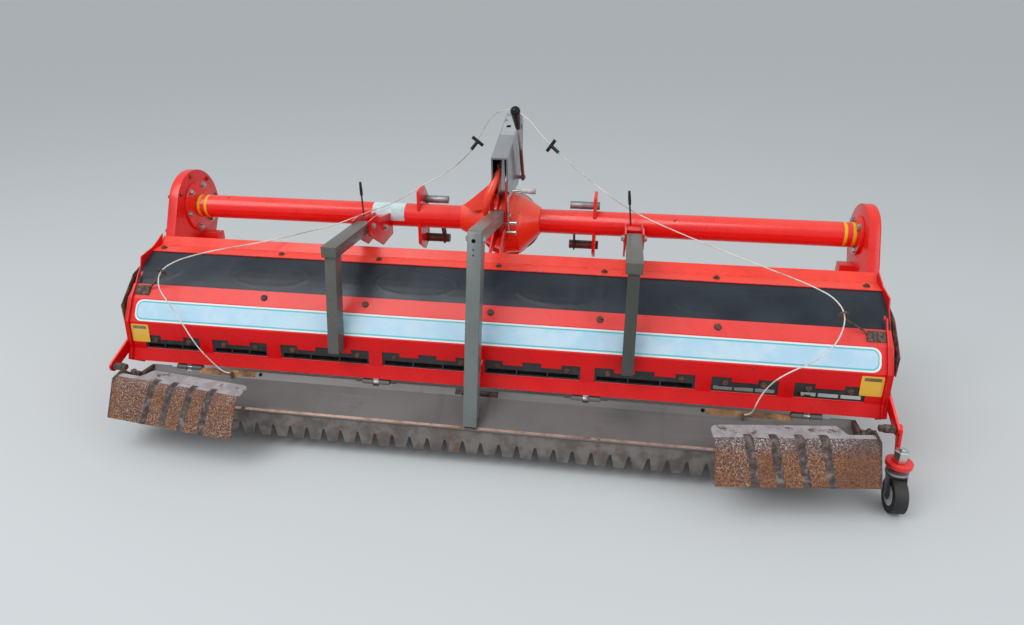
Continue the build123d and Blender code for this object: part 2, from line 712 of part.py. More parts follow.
def rake():
    edge = world(LEVEL_EDGE)
    lean = radians(RAKE_LEAN)
    span = 2 * (LEVEL_HALF - 12)
    count = int(span // TOOTH_PITCH)
    first = -(count * TOOTH_PITCH) / 2
    root = -(RAKE_DROP - TOOTH_DEPTH)
    points = [(first, 0), (first, root)]
    for index in range(count):
        x = first + index * TOOTH_PITCH
        shoulder = (TOOTH_PITCH - TOOTH_TIP - TOOTH_ROOT_GAP) / 2
        points.append((x + TOOTH_ROOT_GAP / 2, root))
        points.append((x + TOOTH_ROOT_GAP / 2 + shoulder, -RAKE_DROP))
        points.append((x + TOOTH_ROOT_GAP / 2 + shoulder + TOOTH_TIP, -RAKE_DROP))
        points.append((x + TOOTH_PITCH - TOOTH_ROOT_GAP / 2, root))
    points.append((-first, root))
    points.append((-first, 0))
    slope = (world(LEVEL_CREASE)[1] - edge[1]) / (world(LEVEL_CREASE)[0] - edge[0])
    rise = RAKE_TUCK * slope - RAKE_SHEET * sin(lean) - SEAT
    plane = Plane(
        origin=(0, edge[0] + RAKE_TUCK + RAKE_SHEET * cos(lean), edge[1] + rise),
        x_dir=(1, 0, 0),
        z_dir=(0, -cos(lean), sin(lean)),
    )
    return extrude(plane * outline(points), amount=RAKE_SHEET)


def latch_bracket():
    """The bracket behind the board's notch: a back plate, two lugs and the pin between them."""
    inner = -SEAT - LATCH_SHEET
    reach = LATCH_HALF + 9
    body = extrude_x(strip_face(2, strip_length() + 2, inner, -SEAT), LATCH_X - reach, LATCH_X + reach)
    lug = strip_face(4, strip_length() - 4, inner, LATCH_STAND)
    near = LATCH_X - LATCH_HALF + LATCH_LUG
    far = LATCH_X + LATCH_HALF - LATCH_LUG
    body += extrude_x(lug, near - LATCH_SHEET, near)
    body += extrude_x(lug, far, far + LATCH_SHEET)
    centre = strip_length() / 2
    pin = strip_face(centre - LATCH_PIN / 2, centre + LATCH_PIN / 2, 3, 3 + LATCH_PIN)
    return body + extrude_x(pin, near, far)


# Folding side levellers


def hinge_point(along, out):
    """A place by its distance down the fold axis and out from it, in (y, z)."""
    slope = radians(FOLD_SLOPE)
    y, z = world(FOLD_PIVOT)
    return (y - along * cos(slope) - out * sin(slope), z - along * sin(slope) + out * cos(slope))


def fold_axis():
    slope = radians(FOLD_SLOPE)
    skew = radians(FOLD_SKEW)
    direction = (sin(skew), -cos(slope) * cos(skew), -sin(slope) * cos(skew))
    return Axis((FOLD_PIVOT_X, *world(FOLD_PIVOT)), direction)


def knuckle(start, length, radius, bore=0.0):
    axis = fold_axis()
    base = axis.position + axis.direction * start
    face = Circle(radius)
    if bore:
        face -= Circle(bore)
    return extrude(Plane(origin=base, z_dir=axis.direction) * face, amount=length)


BOARD_KNUCKLES = (-30.0, 60.0)
WING_KNUCKLES = (-7.0, 37.0)


def fold_bracket():
    """The board's end plate on the right, with its two knuckles and the fold pin."""
    x_plate = FOLD_PIVOT_X - FOLD_EDGE_GAP
    face = outline(
        [
            board_pivot(),
            world(LEVEL_CREASE),
            (world(LEVEL_EDGE)[0], world(LEVEL_EDGE)[1]),
            hinge_point(84, -FOLD_EDGE_GAP),
            hinge_point(-32, -FOLD_EDGE_GAP),
        ]
    )
    bracket = extrude_x(face, LEVEL_HALF, x_plate)
    for start in BOARD_KNUCKLES:
        bracket += knuckle(start, FOLD_BARREL_LENGTH, FOLD_BARREL_RADIUS)
        near = hinge_point(start, 0)
        far = hinge_point(start + FOLD_BARREL_LENGTH, 0)
        web = outline([near, far, hinge_point(start + FOLD_BARREL_LENGTH, -16), hinge_point(start, -16)])
        bracket += extrude_x(web, x_plate - FOLD_PLATE, FOLD_PIVOT_X)
    bracket += knuckle(-34, 120, FOLD_PIN_RADIUS)
    return pair(bracket)


def wing():
    """The right side leveller in its working place."""
    start = FOLD_PIVOT_X + WING_OFFSET
    end = start + WING_LENGTH
    points = [world(WING_TOP), world(WING_BEND), world(WING_EDGE)]
    body = sheet(points, WING_SHEET, start, end, radius=WING_BEND_RADIUS, side=Side.RIGHT)
    notch_y, notch_z = world(WING_TOP)
    body -= Pos(start + WING_FLANGE_CUT / 2, notch_y, notch_z) * Box(WING_FLANGE_CUT, 40, 76)
    plate = outline(
        [
            hinge_point(-16, -60),
            hinge_point(18.9, -80.2),
            world(WING_EDGE),
            hinge_point(105, -FOLD_EDGE_GAP),
            hinge_point(-16, -FOLD_EDGE_GAP),
        ]
    )
    body += extrude_x(plate, start, start + FOLD_PLATE)
    for near in WING_KNUCKLES:
        body += knuckle(near, FOLD_BARREL_LENGTH, FOLD_BARREL_RADIUS)
        web = outline(
            [
                hinge_point(near, 0),
                hinge_point(near + FOLD_BARREL_LENGTH, 0),
                hinge_point(near + FOLD_BARREL_LENGTH, -24),
                hinge_point(near, -24),
            ]
        )
        body += extrude_x(web, FOLD_PIVOT_X, start + FOLD_PLATE)
    body -= knuckle(-40, 140, FOLD_PIN_RADIUS + RUN)
    return body


def wings():
    folded = wing().rotate(fold_axis(), FOLD_REST)
    return both_sides(folded)


# Hitch and mast


def hitch_plates():
    face = outline(
        [
            world((-30, HITCH_TOP - 10)),
            world((30, HITCH_TOP)),
            world((78, HITCH_TOP - 46)),
            world((74, HITCH_BOTTOM + 20)),
            world((20, HITCH_BOTTOM)),
            world((-34, HITCH_BOTTOM + 34)),
        ]
    )
    face -= Pos(TUBE_Y, TUBE_Z) * Circle(TUBE_RADIUS + SEAT)
    face -= Pos(*world((HITCH_PIN_FORWARD, UPPER_PIN_Z))) * Circle(UPPER_PIN_RADIUS + RUN)
    face -= Pos(*world((HITCH_PIN_FORWARD, LOWER_PIN_Z))) * Circle(LOWER_PIN_RADIUS + RUN)
    return pair(extrude_x(face, HITCH_X, HITCH_X + HITCH_PLATE))


def hitch_pins(rise, radius):
    y, z = world((HITCH_PIN_FORWARD, rise))
    return pair(rod_x(radius, HITCH_PIN_INNER, HITCH_X + HITCH_PLATE + PIN_HEAD, y, z))


def mast():
    half = MAST_WIDTH / 2
    points = [world(point) for point in MAST_OUTLINE]
    body = extrude_x(outline(points), -half, half)
    inner = [
        world((-150, 218 - MAST_SHEET)),
        world((165, 309 - MAST_SHEET - 1)),
        world((240, 320)),
        world((240, 60)),
        world((-150, 60)),
    ]
    body -= extrude_x(outline(inner), -half + MAST_SHEET, half - MAST_SHEET)
    pin_y, pin_z = world((TOP_LINK_Y, TOP_LINK_Z))
    body -= rod_x(TOP_LINK_RADIUS, -half, half, pin_y, pin_z)
    body += rod_x(LEVER_PIN_RADIUS, half - MAST_SHEET / 2, LEVER_X + LEVER_EYE_WIDTH, *world(LEVER_PIVOT))
    body += rod_between(place(ROPE_EYE), place(ROPE_EYE_TOP), ROPE_EYE_RADIUS)
    for route in (ROPE_LEFT, ROPE_RIGHT):
        body += rope_end(route[0], route[1], EYE_STUB_LENGTH)
    return body


def mast_bracket():
    """Two red plates from inside the mast down onto the gearbox."""
    inside = MAST_WIDTH / 2 - MAST_SHEET - SEAT
    face = outline([world((-58, 190)), world((40, 200)), world((76, 40)), world((-70, 40))])
    plate = extrude_x(face, inside - SADDLE_PLATE, inside)
    body = gearbox()
    beside = -MAST_WIDTH / 2 - SEAT
    points = [(-90, 20), (-78, 55), (-38, 112), (beside, 117), (beside, 20)]
    gusset_plane = Plane(origin=(0, TUBE_Y - 22, TUBE_Z), x_dir=(1, 0, 0), z_dir=(0, -1, 0))
    gusset = extrude(gusset_plane * outline(points), amount=8)
    return Compound(children=[side - body for side in (*both_sides(plate), gusset)])


def hood_stay():
    """Two plates from the back of the gearbox to the crest of the hood."""
    near = STAY_GAP / 2
    corners = [(-60, -30), (-60, 14), (-150, 4), (-224, -37), (-224, -50)]
    face = outline([world(corner) for corner in corners])
    plate = extrude_x(face, near, near + SADDLE_PLATE)
    body = gearbox()
    return Compound(children=[side - body for side in both_sides(plate)])


def centre_arm():
    half = ARM_WIDTH / 2
    pivot = world(ARM_PIVOT)
    elbow = world(ARM_ELBOW)
    end = world(ARM_END)
    lean = atan2(elbow[0] - end[0], elbow[1] - end[1])
    forward = (ARM_DEPTH * cos(lean), -ARM_DEPTH * sin(lean))
    board_slope = (LEVEL_CREASE[1] - LEVEL_EDGE[1]) / (LEVEL_CREASE[0] - LEVEL_EDGE[0])
    face = outline(
        [
            end,
            (end[0] + forward[0], end[1] + forward[0] * board_slope),
            (elbow[0] + forward[0] * 1.15, elbow[1] - ARM_DEPTH),
            (pivot[0], pivot[1] - 18),
            (pivot[0] + 14, pivot[1]),
            (pivot[0], pivot[1] + 18),
            (elbow[0] + 8, elbow[1]),
            (elbow[0], elbow[1] - 8),
        ]
    )
    body = extrude_x(face, ARM_X - half, ARM_X + half)
    return body - rod_x(ARM_EYE_RADIUS + RUN, ARM_X - half, ARM_X + half, *pivot)


def arm_pivot():
    """The pin and two zinc cheeks that carry the centre arm behind the gearbox."""
    half = ARM_WIDTH / 2 + SIDE_GAP
    pivot = world(ARM_PIVOT)
    corners = ((-134, 30), (-116, 150), (-92, 150), (-92, 60), (-108, 20))
    cheek = outline([world(corner) for corner in corners])
    right = extrude_x(cheek, ARM_X + half, ARM_X + half + ARM_CHEEK)
    left = extrude_x(cheek, ARM_X - half - ARM_CHEEK, ARM_X - half)
    pin = rod_x(ARM_EYE_RADIUS, ARM_X - half - ARM_CHEEK - 6, ARM_X + half + ARM_CHEEK + 6, *pivot)
    return right + left + pin


def side_arms():
    """Square bars from the tube back and down to the rear panel."""
    half = SIDE_ARM_WIDTH / 2
    top = world(SIDE_ARM_TOP)
    end = world(SIDE_ARM_END)
    lean = atan2(top[0] - end[0], top[1] - end[1])
    forward = (SIDE_ARM_DEPTH * cos(lean), -SIDE_ARM_DEPTH * sin(lean))
    end_front = (end[0] + forward[0], end[1] + forward[1])
    top_front = (top[0] + forward[0], top[1] + forward[1])
    face = outline([end, end_front, top_front, top])
    leg = extrude_x(face, SIDE_ARM_X - half, SIDE_ARM_X + half)
    bar_top = TUBE_Z + SIDE_BAR_TOP
    bar_face = outline(
        [
            (TUBE_Y + SIDE_BAR_REAR, bar_top),
            (TUBE_Y + SIDE_BAR_FRONT, bar_top - 8),
            (TUBE_Y + SIDE_BAR_FRONT, bar_top - 8 - SIDE_BAR_DEPTH),
            (TUBE_Y + SIDE_BAR_REAR, bar_top - SIDE_BAR_DEPTH),
        ]
    )
    bar = extrude_x(bar_face, SIDE_ARM_X - SIDE_BAR_WIDTH / 2, SIDE_ARM_X + SIDE_BAR_WIDTH / 2)
    return {"side_bars": pair(bar), "side_arms": pair(leg - bar)}


def arm_saddles():
    """Two plates on the tube that hold each side arm's front end."""
    corners = ((-20, -60), (-20, 12), (-130, 28), (-170, 44), (-236, 44), (-236, 0), (-120, -66))
    face = outline([world(corner) for corner in corners])
    face -= Pos(TUBE_Y, TUBE_Z) * Circle(TUBE_RADIUS + SEAT)
    near = SIDE_BAR_WIDTH / 2 + SEAT
    saddle = extrude_x(face, SIDE_ARM_X + near, SIDE_ARM_X + near + SADDLE_PLATE)
    saddle += extrude_x(face, SIDE_ARM_X - near - SADDLE_PLATE, SIDE_ARM_X - near)
    tie = Box(2 * near + 2 * SADDLE_PLATE, 40, SADDLE_PLATE)
    saddle += Pos(SIDE_ARM_X, TUBE_Y - 60, TUBE_Z + 4) * tie
    return pair(saddle)


# Ropes, their guides, and the levers beside the mast


def rope(route):
    """A rope along its route, and the radii that its corners turn with."""
    points = [place(point) for point in route]
    radii = []
    for before, corner, after in zip(points, points[1:], points[2:]):
        first = corner - before
        second = after - corner
        half_turn = radians(first.get_angle(second)) / 2
        radii.append(ROPE_BEND_SHARE * min(first.length, second.length) / tan(half_turn))
    path = FilletPolyline(*points, radius=radii)
    start = Plane(origin=points[0], z_dir=points[1] - points[0])
    return sweep(start * Circle(ROPE_RADIUS), path=path), path, radii


def turn_direction(route, index):
    before, corner, after = (place(point) for point in route[index - 1 : index + 2])
    return ((corner - before).normalized() + (after - corner).normalized()).normalized()


def rope_handle(route, cord):
    """A pull handle threaded on a rope: a stem along it and a bar across its upper end."""
    along = turn_direction(route, HANDLE_RUN_COUNT)
    before = place(route[HANDLE_RUN_COUNT - 1])
    corner = place(route[HANDLE_RUN_COUNT])
    middle = corner + (before - corner).normalized() * HANDLE_SHIFT
    top = middle - along * (HANDLE_STEM_LENGTH / 2)
    across = along.cross(Vector(0, 1, 0)).normalized() * (HANDLE_BAR_LENGTH / 2)
    stem = rod_between(top, middle + along * (HANDLE_STEM_LENGTH / 2), HANDLE_STEM_RADIUS)
    return stem + rod_between(top - across, top + across, HANDLE_BAR_RADIUS) - cord


def rope_guide(route, side):
    """A plate on the panel's top corner with a wire up to the ring that a rope runs through."""
    index = max(range(len(route)), key=lambda count: abs(route[count][0]))
    along = turn_direction(route, index)
    before, corner, after = (place(point) for point in route[index - 1 : index + 2])
    inward = ((before - corner).normalized() + (after - corner).normalized()).normalized()
    middle = corner + inward * GUIDE_RING_SHIFT
    ring = Plane(origin=middle, z_dir=along) * Torus(GUIDE_RING_RADIUS, GUIDE_WIRE)
    low = Vector(0, 0, -1)
    low = (low - along * low.dot(along)).normalized()
    top, shoulder = Vector(*PANEL_TOP), Vector(*PANEL_SHOULDER)
    run = shoulder - top
    out = Vector(run.Y, -run.X).normalized()
    if out.Y < 0:
        out = out * -1
    near, far = (top + run * share for share in GUIDE_SPAN)
    lift = [out * SEAT, out * (SEAT + GUIDE_SHEET)]
    corners = [near + lift[0], far + lift[0], far + lift[1], near + lift[1]]
    face = outline([world((point.X, point.Y)) for point in corners])
    half = GUIDE_PLATE_WIDTH / 2
    plate = extrude_x(face, side * GUIDE_PLATE_X - half, side * GUIDE_PLATE_X + half)
    foot = near + run * 0.2 + out * (SEAT + GUIDE_WIRE + 0.4)
    start = place((side * (GUIDE_PLATE_X - half + 2 * GUIDE_WIRE), foot.X, foot.Y))
    return plate + ring + rod_between(start, middle + low * GUIDE_RING_RADIUS, GUIDE_WIRE)


def ropes():
    parts = {}
    handles = []
    guides = []
    for name, route, side in (("left", ROPE_LEFT, -1), ("right", ROPE_RIGHT, 1)):
        cord, path, radii = rope(route)
        section = pi * ROPE_RADIUS**2
        print(f"rope {name}: length {path.length:.0f}, section x length {section * path.length:.0f}")
        print(f"  volume {cord.volume:.0f}, radii {[round(radius) for radius in radii]}")
        parts[f"rope_{name}"] = cord
        handles.append(rope_handle(route, cord))
        guides.append(rope_guide(route, side))
    parts["rope_handles"] = Compound(children=handles)
    parts["rope_guides"] = Compound(children=guides)
    return parts


def lever_point(point):
    return place((LEVER_X, *point))


def coupler_lever():
    """The lever that works the top coupler, with its grip."""
    half = LEVER_EYE_WIDTH / 2
    eye = rod_x(LEVER_EYE_RADIUS, LEVER_X - half, LEVER_X + half, *world(LEVER_PIVOT))
    lever = eye + rod_between(lever_point(LEVER_PIVOT), lever_point(LEVER_KNEE), LEVER_ROD + 1)
    lever += Pos(*lever_point(LEVER_KNEE)) * Sphere(LEVER_ROD + 1)
    lever += rod_between(lever_point(LEVER_KNEE), lever_point(LEVER_NECK), LEVER_ROD)
    lever -= rod_x(LEVER_PIN_RADIUS + RUN, LEVER_X - 2 * half, LEVER_X + 2 * half, *world(LEVER_PIVOT))
    knob = rod_between(lever_point(LEVER_NECK), lever_point(LEVER_TOP), KNOB_NECK_RADIUS, KNOB_RADIUS)
    knob += Pos(*lever_point(LEVER_TOP)) * Sphere(KNOB_RADIUS)
    return {"coupler_lever": lever, "lever_knob": knob - lever}


def lock_handle():
    """The bent rod that locks the centre arm, with its grip, beside the arm's cheek."""
    x = ARM_X + ARM_WIDTH / 2 + SIDE_GAP + ARM_CHEEK + SEAT + LOCK_ROD
    points = [place((x + across, LOCK_BACK, up)) for across, up in LOCK_LINE]
    body = rod_between(points[0], points[1], LOCK_ROD)
    for start, end in zip(points[1:], points[2:]):
        body += Pos(*start) * Sphere(LOCK_ROD)
        body += rod_between(start, end, LOCK_ROD)
    grip_end = points[-1] + Vector(LOCK_GRIP_LENGTH, 0, -2)
    return body + rod_between(points[-1], grip_end, LOCK_GRIP_RADIUS)


# Stand wheels


def stand_wheel(x, y):
    """One swivel wheel under a kingpin at (x, y): its stem, its fork and its wheel."""
    race = Pos(x, y, FORK_TOP + SIDE_GAP / 2 + RACE_THICKNESS / 2) * Cylinder(RACE_RADIUS, RACE_THICKNESS)
    axle_y = y - WHEEL_TRAIL
    inside = WHEEL_WIDTH / 2 + FORK_GAP
    crown = Pos(x, y, FORK_TOP - FORK_SHEET / 2) * Cylinder(RACE_RADIUS, FORK_SHEET)
    crown += Pos(x, y, FORK_TOP - FORK_SHEET / 2) * Box(2 * (inside + FORK_SHEET), RACE_RADIUS, FORK_SHEET)
    leg_face = outline(
        [
            (y + RACE_RADIUS / 2, FORK_TOP),
            (y - RACE_RADIUS / 2, FORK_TOP),
            (axle_y - 12, WHEEL_RADIUS + 6),
            (axle_y - 8, WHEEL_RADIUS - 9),
            (axle_y + 8, WHEEL_RADIUS - 9),
            (axle_y + 14, WHEEL_RADIUS + 6),
        ]
    )
    fork = crown + extrude_x(leg_face, x + inside, x + inside + FORK_SHEET)
    fork += extrude_x(leg_face, x - inside - FORK_SHEET, x - inside)
    reach = inside + FORK_SHEET + 4
    fork += rod_x(WHEEL_BORE - RUN, x - reach, x + reach, axle_y, WHEEL_RADIUS)
    tyre_face = Circle(WHEEL_RADIUS) - Circle(WHEEL_HUB_RADIUS)
    tyre = extrude_x(Pos(axle_y, WHEEL_RADIUS) * tyre_face, x - WHEEL_WIDTH / 2, x + WHEEL_WIDTH / 2)
    hub_face = Circle(WHEEL_HUB_RADIUS) - Circle(WHEEL_BORE)
    hub = extrude_x(Pos(axle_y, WHEEL_RADIUS) * hub_face, x - WHEEL_WIDTH / 2, x + WHEEL_WIDTH / 2)
    return race, fork, tyre, hub


def front_stands():
    parts = {}
    for side, name in ((-1, "left"), (1, "right")):
        x = side * STAND_X
        y = STAND_Y
        race, fork, tyre, hub = stand_wheel(x, y)
        base = FORK_TOP + SIDE_GAP / 2 + RACE_THICKNESS
        height = STAND_TUBE_TOP - base
        post = Pos(x, y, base + height / 2) * Box(STAND_TUBE, STAND_TUBE, height)
        inner = HOOD_HALF + SEAT
        web = outline(
            [
                (y + STAND_TUBE / 2, STAND_TUBE_TOP - 90),
                (y + STAND_TUBE / 2, STAND_TUBE_TOP - 10),
                (hood_point(HOOD_FRONT_ANGLE)[0] + 5, STAND_TUBE_TOP - 20),
                (hood_point(HOOD_FRONT_ANGLE)[0] + 5, STAND_TUBE_TOP - 90),
            ]
        )
        tie = extrude_x(web, inner - 6, inner)
        beside = STAND_X + STAND_TUBE / 2
        tie += Pos((inner + beside) / 2, y, STAND_TUBE_TOP - 50) * Box(inner - beside, STAND_TUBE, 60)
        tie = tie if side > 0 else tie.mirror(Plane.YZ)
        parts[f"front_stand_{name}"] = post + race + tie
        parts[f"front_fork_{name}"] = fork
        parts[f"front_tyre_{name}"] = tyre
        parts[f"front_hub_{name}"] = hub
    return parts


def rear_stand():
    x = REAR_WHEEL_X
    y = TUBE_Y + REAR_WHEEL_BACK
    race, fork, tyre, hub = stand_wheel(x, y)
    base = FORK_TOP + SIDE_GAP / 2 + RACE_THICKNESS
    stem = race + Pos(x, y, base + KINGPIN_HEIGHT / 2) * Cylinder(KINGPIN_RADIUS, KINGPIN_HEIGHT)
    stem += Pos(x, y, base + KINGPIN_HEIGHT - COLLAR_HEIGHT / 2) * Cylinder(COLLAR_RADIUS, COLLAR_HEIGHT)
    saucer_z = base + SAUCER_RISE
    saucer = Pos(x, y, saucer_z) * Cylinder(SAUCER_RADIUS, SAUCER_THICKNESS)
    saucer -= Pos(x, y, saucer_z) * Cylinder(KINGPIN_RADIUS + SEAT, SAUCER_THICKNESS + 2)
    inner = HOOD_HALF + SEAT + END_PLATE + SEAT
    strap_face = capsule(world(STRAP_START), world(STRAP_END), STRAP_RADIUS + 2, STRAP_RADIUS)
    strap = extrude_x(strap_face, inner, inner + STRAP_SHEET)
    near = inner + STRAP_SHEET + SEAT
    arm = capsule(world(STRAP_END), (y + 22, saucer_z), STRAP_RADIUS, 6)
    carrier = saucer + extrude_x(arm, near, near + STRAP_SHEET)
    return {
        "rear_stand_stem": stem,
        "rear_stand_arm": carrier,
        "rear_brackets": pair(strap),
        "rear_fork": fork,
        "rear_tyre": tyre,
        "rear_hub": hub,
    }


def build_all():
    parts = {}
    parts.update(frame_beams())
    parts.update(end_housings())
    parts["gearbox"] = gearbox()
    parts.update(input_drive())
    parts.update(rotor())
    parts["top_cover"] = top_cover()
    parts["rubber_cover"] = rubber_cover()
    parts["rear_panel"] = rear_panel()
    parts["slot_inserts"] = slot_inserts()
    parts["end_plates"] = end_plates()
    parts["side_guards"] = side_guards()
    parts["leveller"] = leveller()
    parts["fold_brackets"] = fold_bracket()
    parts["leveller_hangers"] = leveller_hangers()
    parts["latch_bracket"] = latch_bracket()
    parts["rake"] = rake()
    parts["wing_left"], parts["wing_right"] = wings()
    parts["hitch_plates"] = hitch_plates()
    parts["upper_pins"] = hitch_pins(UPPER_PIN_Z, UPPER_PIN_RADIUS)
    parts["lower_pins"] = hitch_pins(LOWER_PIN_Z, LOWER_PIN_RADIUS)
    parts["mast"] = mast()
    parts["mast_bracket"] = mast_bracket()
    parts["hood_stay"] = hood_stay()
    parts["centre_arm"] = centre_arm()
    parts["arm_pivot"] = arm_pivot()
    parts["lock_handle"] = lock_handle()
    parts.update(coupler_lever())
    parts.update(side_arms())
    parts["saddles"] = arm_saddles()
    parts.update(ropes())
    parts.update(front_stands())
    parts.update(rear_stand())
    return parts


if __name__ == "__main__":
    os.makedirs("parts", exist_ok=True)
    whole = None
    for name, shape in build_all().items():
        export_step(shape, os.path.join("parts", name + ".step"))
        box = shape.bounding_box()
        whole = box if whole is None else whole.add(box)
        print(f"{name:22s} {len(shape.solids())} solids  {box.min}  {box.max}")
    print("whole", whole.min, whole.max)
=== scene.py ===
# %% [markdown]
# # A tractor-mounted drive harrow for paddy fields
# The machine is two metres wide: a red cross tube with a gearbox in its middle, a tined rotor
# under a hood, a rubber apron, a slotted rear panel, a hinged levelling board with a toothed
# rake, and two rusty side levellers that are folded in. The solids come from the CAD frame.
# Blender adds what makes them look real: rolled edges, paint, rust, bolts, bands and ropes.

# %% Load the frame
import json
from math import cos, pi, radians, sin, sqrt, tan
import random

import bmesh
import bpy
from mathutils import Matrix, Vector
from mathutils.bvhtree import BVHTree


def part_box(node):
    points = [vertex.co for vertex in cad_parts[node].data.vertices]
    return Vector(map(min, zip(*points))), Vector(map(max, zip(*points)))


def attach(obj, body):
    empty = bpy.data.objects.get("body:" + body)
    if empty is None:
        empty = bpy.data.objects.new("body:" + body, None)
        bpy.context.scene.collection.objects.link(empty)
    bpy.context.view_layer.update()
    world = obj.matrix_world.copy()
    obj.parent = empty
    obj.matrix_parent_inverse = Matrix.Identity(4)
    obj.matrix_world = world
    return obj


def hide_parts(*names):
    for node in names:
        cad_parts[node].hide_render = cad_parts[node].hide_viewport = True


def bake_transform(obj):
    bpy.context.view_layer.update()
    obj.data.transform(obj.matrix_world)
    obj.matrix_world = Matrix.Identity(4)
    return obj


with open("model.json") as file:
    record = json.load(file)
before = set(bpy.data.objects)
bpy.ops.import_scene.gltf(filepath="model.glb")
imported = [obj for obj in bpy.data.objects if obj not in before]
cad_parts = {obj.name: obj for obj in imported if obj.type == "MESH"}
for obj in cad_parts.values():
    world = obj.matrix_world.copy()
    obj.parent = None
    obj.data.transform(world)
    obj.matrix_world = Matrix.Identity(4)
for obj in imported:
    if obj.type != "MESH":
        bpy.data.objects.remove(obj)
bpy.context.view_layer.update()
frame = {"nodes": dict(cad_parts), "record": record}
MM = 0.001
tube_low, tube_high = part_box("beam_left")
TUBE_Y = (tube_low.y + tube_high.y) / 2
TUBE_Z = (tube_low.z + tube_high.z) / 2


def at(across, forward, up):
    """A place measured in millimetres from the middle of the cross tube's axis."""
    return Vector((across * MM, TUBE_Y + forward * MM, TUBE_Z + up * MM))


def put(name, data):
    """A new object in the scene that carries a mesh, a lamp or other data."""
    item = bpy.data.objects.new(name, data)
    bpy.context.scene.collection.objects.link(item)
    return item


print("nodes:", len(frame["nodes"]), "tube axis at y, z:", round(TUBE_Y, 4), round(TUBE_Z, 4))

# %% [markdown]
# ## Camera
# The photograph was taken by someone standing behind the machine, a little to its right, with
# a phone held level and tipped down. The place and angles below come from fitting a camera to
# points whose sizes are known, such as both ends of the tube. A lens in millimetres on a
# 36 mm sensor gives the same field of view as the phone's.

# %% Camera
CAMERA_PLACE = (355.3, -2165.0, 653.0)
SENSOR = 36.0
LENS = 24.61
TIP_DOWN = 24.162
TURN_LEFT = 8.862
camera_data = bpy.data.cameras.new("camera")
camera_data.sensor_width = SENSOR
camera_data.lens = LENS
camera = put("camera", camera_data)
camera.location = at(*CAMERA_PLACE)
camera.rotation_euler = (radians(90 - TIP_DOWN), 0, radians(TURN_LEFT))
bpy.context.scene.camera = camera
print("camera at", [round(value, 3) for value in camera.location])

# %% [markdown]
# ## Floor and light
# The yard becomes a plain pale floor. A large soft lamp over the left shoulder of the camera
# stands in for the hazy sky of the photograph, a weaker one fills the right-hand side, and a
# pale world gives the gloss paint something to mirror. Its light comes mostly from above and
# fades towards the horizon, so the sides of the machine keep the deep colour they have under
# a cloudy sky. The camera, and the gloss of metal, see an even pale background.

# %% Floor
FLOOR_HALF = 2000.0
floor_mesh = bpy.data.meshes.new("floor")
corners = [(x * FLOOR_HALF, y * FLOOR_HALF, 0) for x, y in ((-1, -1), (1, -1), (1, 1), (-1, 1))]
floor_mesh.from_pydata(corners, [], [(0, 1, 2, 3)])
floor = put("floor", floor_mesh)
floor_paint = bpy.data.materials.new("floor_paint")
floor_paint.use_nodes = True
floor_shader = floor_paint.node_tree.nodes["Principled BSDF"]
floor_shader.inputs["Base Color"].default_value = (0.56, 0.59, 0.60, 1)
floor_shader.inputs["Roughness"].default_value = 0.85
floor_mesh.materials.append(floor_paint)
print("floor", 2 * FLOOR_HALF, "m wide")

# %% World and lamps
SKY_LIGHT, SKY_SEEN = (0.95, 0.98, 1.0, 1), (0.47, 0.50, 0.515, 1)
SKY_HEIGHTS, SKY_STRENGTHS = (-0.1, 0.9), (0.30, 0.88)
world = bpy.data.worlds.new("world")
bpy.context.scene.world = world
world.use_nodes = True
sky = world.node_tree
sky.nodes.clear()


def wire(tree, kind, values=None, links=None, **settings):
    """A node of a tree, its sockets set or linked by number or name."""
    item = tree.nodes.new(kind)
    for key, value in settings.items():
        setattr(item, key, value)
    for key, value in (values or {}).items():
        item.inputs[key].default_value = value
    for key, socket in (links or {}).items():
        tree.links.new(socket, item.inputs[key])
    return item


sky_way = wire(sky, "ShaderNodeTexCoord").outputs["Generated"]
sky_height = wire(sky, "ShaderNodeSeparateXYZ", links={0: sky_way}).outputs[2]
sky_limits = dict(zip((1, 2, 3, 4), SKY_HEIGHTS + SKY_STRENGTHS))
sky_strength = wire(sky, "ShaderNodeMapRange", sky_limits, {0: sky_height}).outputs[0]
sky_light = wire(sky, "ShaderNodeBackground", {"Color": SKY_LIGHT}, {"Strength": sky_strength})
sky_seen = wire(sky, "ShaderNodeBackground", {"Color": SKY_SEEN})
ray = wire(sky, "ShaderNodeLightPath").outputs
even_sky = ray["Is Camera Ray"]
for kind in ("Is Glossy Ray", "Is Transmission Ray"):
    even_sky = wire(sky, "ShaderNodeMath", links={0: even_sky, 1: ray[kind]},
                    operation="MAXIMUM").outputs[0]
sky_mix = wire(sky, "ShaderNodeMixShader",
               links={0: even_sky, 1: sky_light.outputs[0], 2: sky_seen.outputs[0]})
wire(sky, "ShaderNodeOutputWorld", links={"Surface": sky_mix.outputs[0]})
bpy.context.scene.view_settings.view_transform = "Standard"


def soft_lamp(name, place, aim, size, power):
    """A square area lamp at a place in metres, turned towards another."""
    data = bpy.data.lights.new(name, "AREA")
    data.size = size
    data.energy = power
    lamp = put(name, data)
    lamp.location = place
    lamp.rotation_euler = (Vector(aim) - Vector(place)).to_track_quat("-Z", "Y").to_euler()


MACHINE_MIDDLE = (0, 0, 0.3)
soft_lamp("key_lamp", (-2.0, -2.4, 4.4), MACHINE_MIDDLE, size=3.2, power=118)
soft_lamp("fill_lamp", (3.4, -2.2, 2.2), MACHINE_MIDDLE, size=2.5, power=34)

# %% [markdown]
# ## Helpers for meshes
# Most pieces below are short lists of points turned into meshes, so a few helpers come first.
# A finished piece keeps its place in its mesh, and its object stays at the origin.

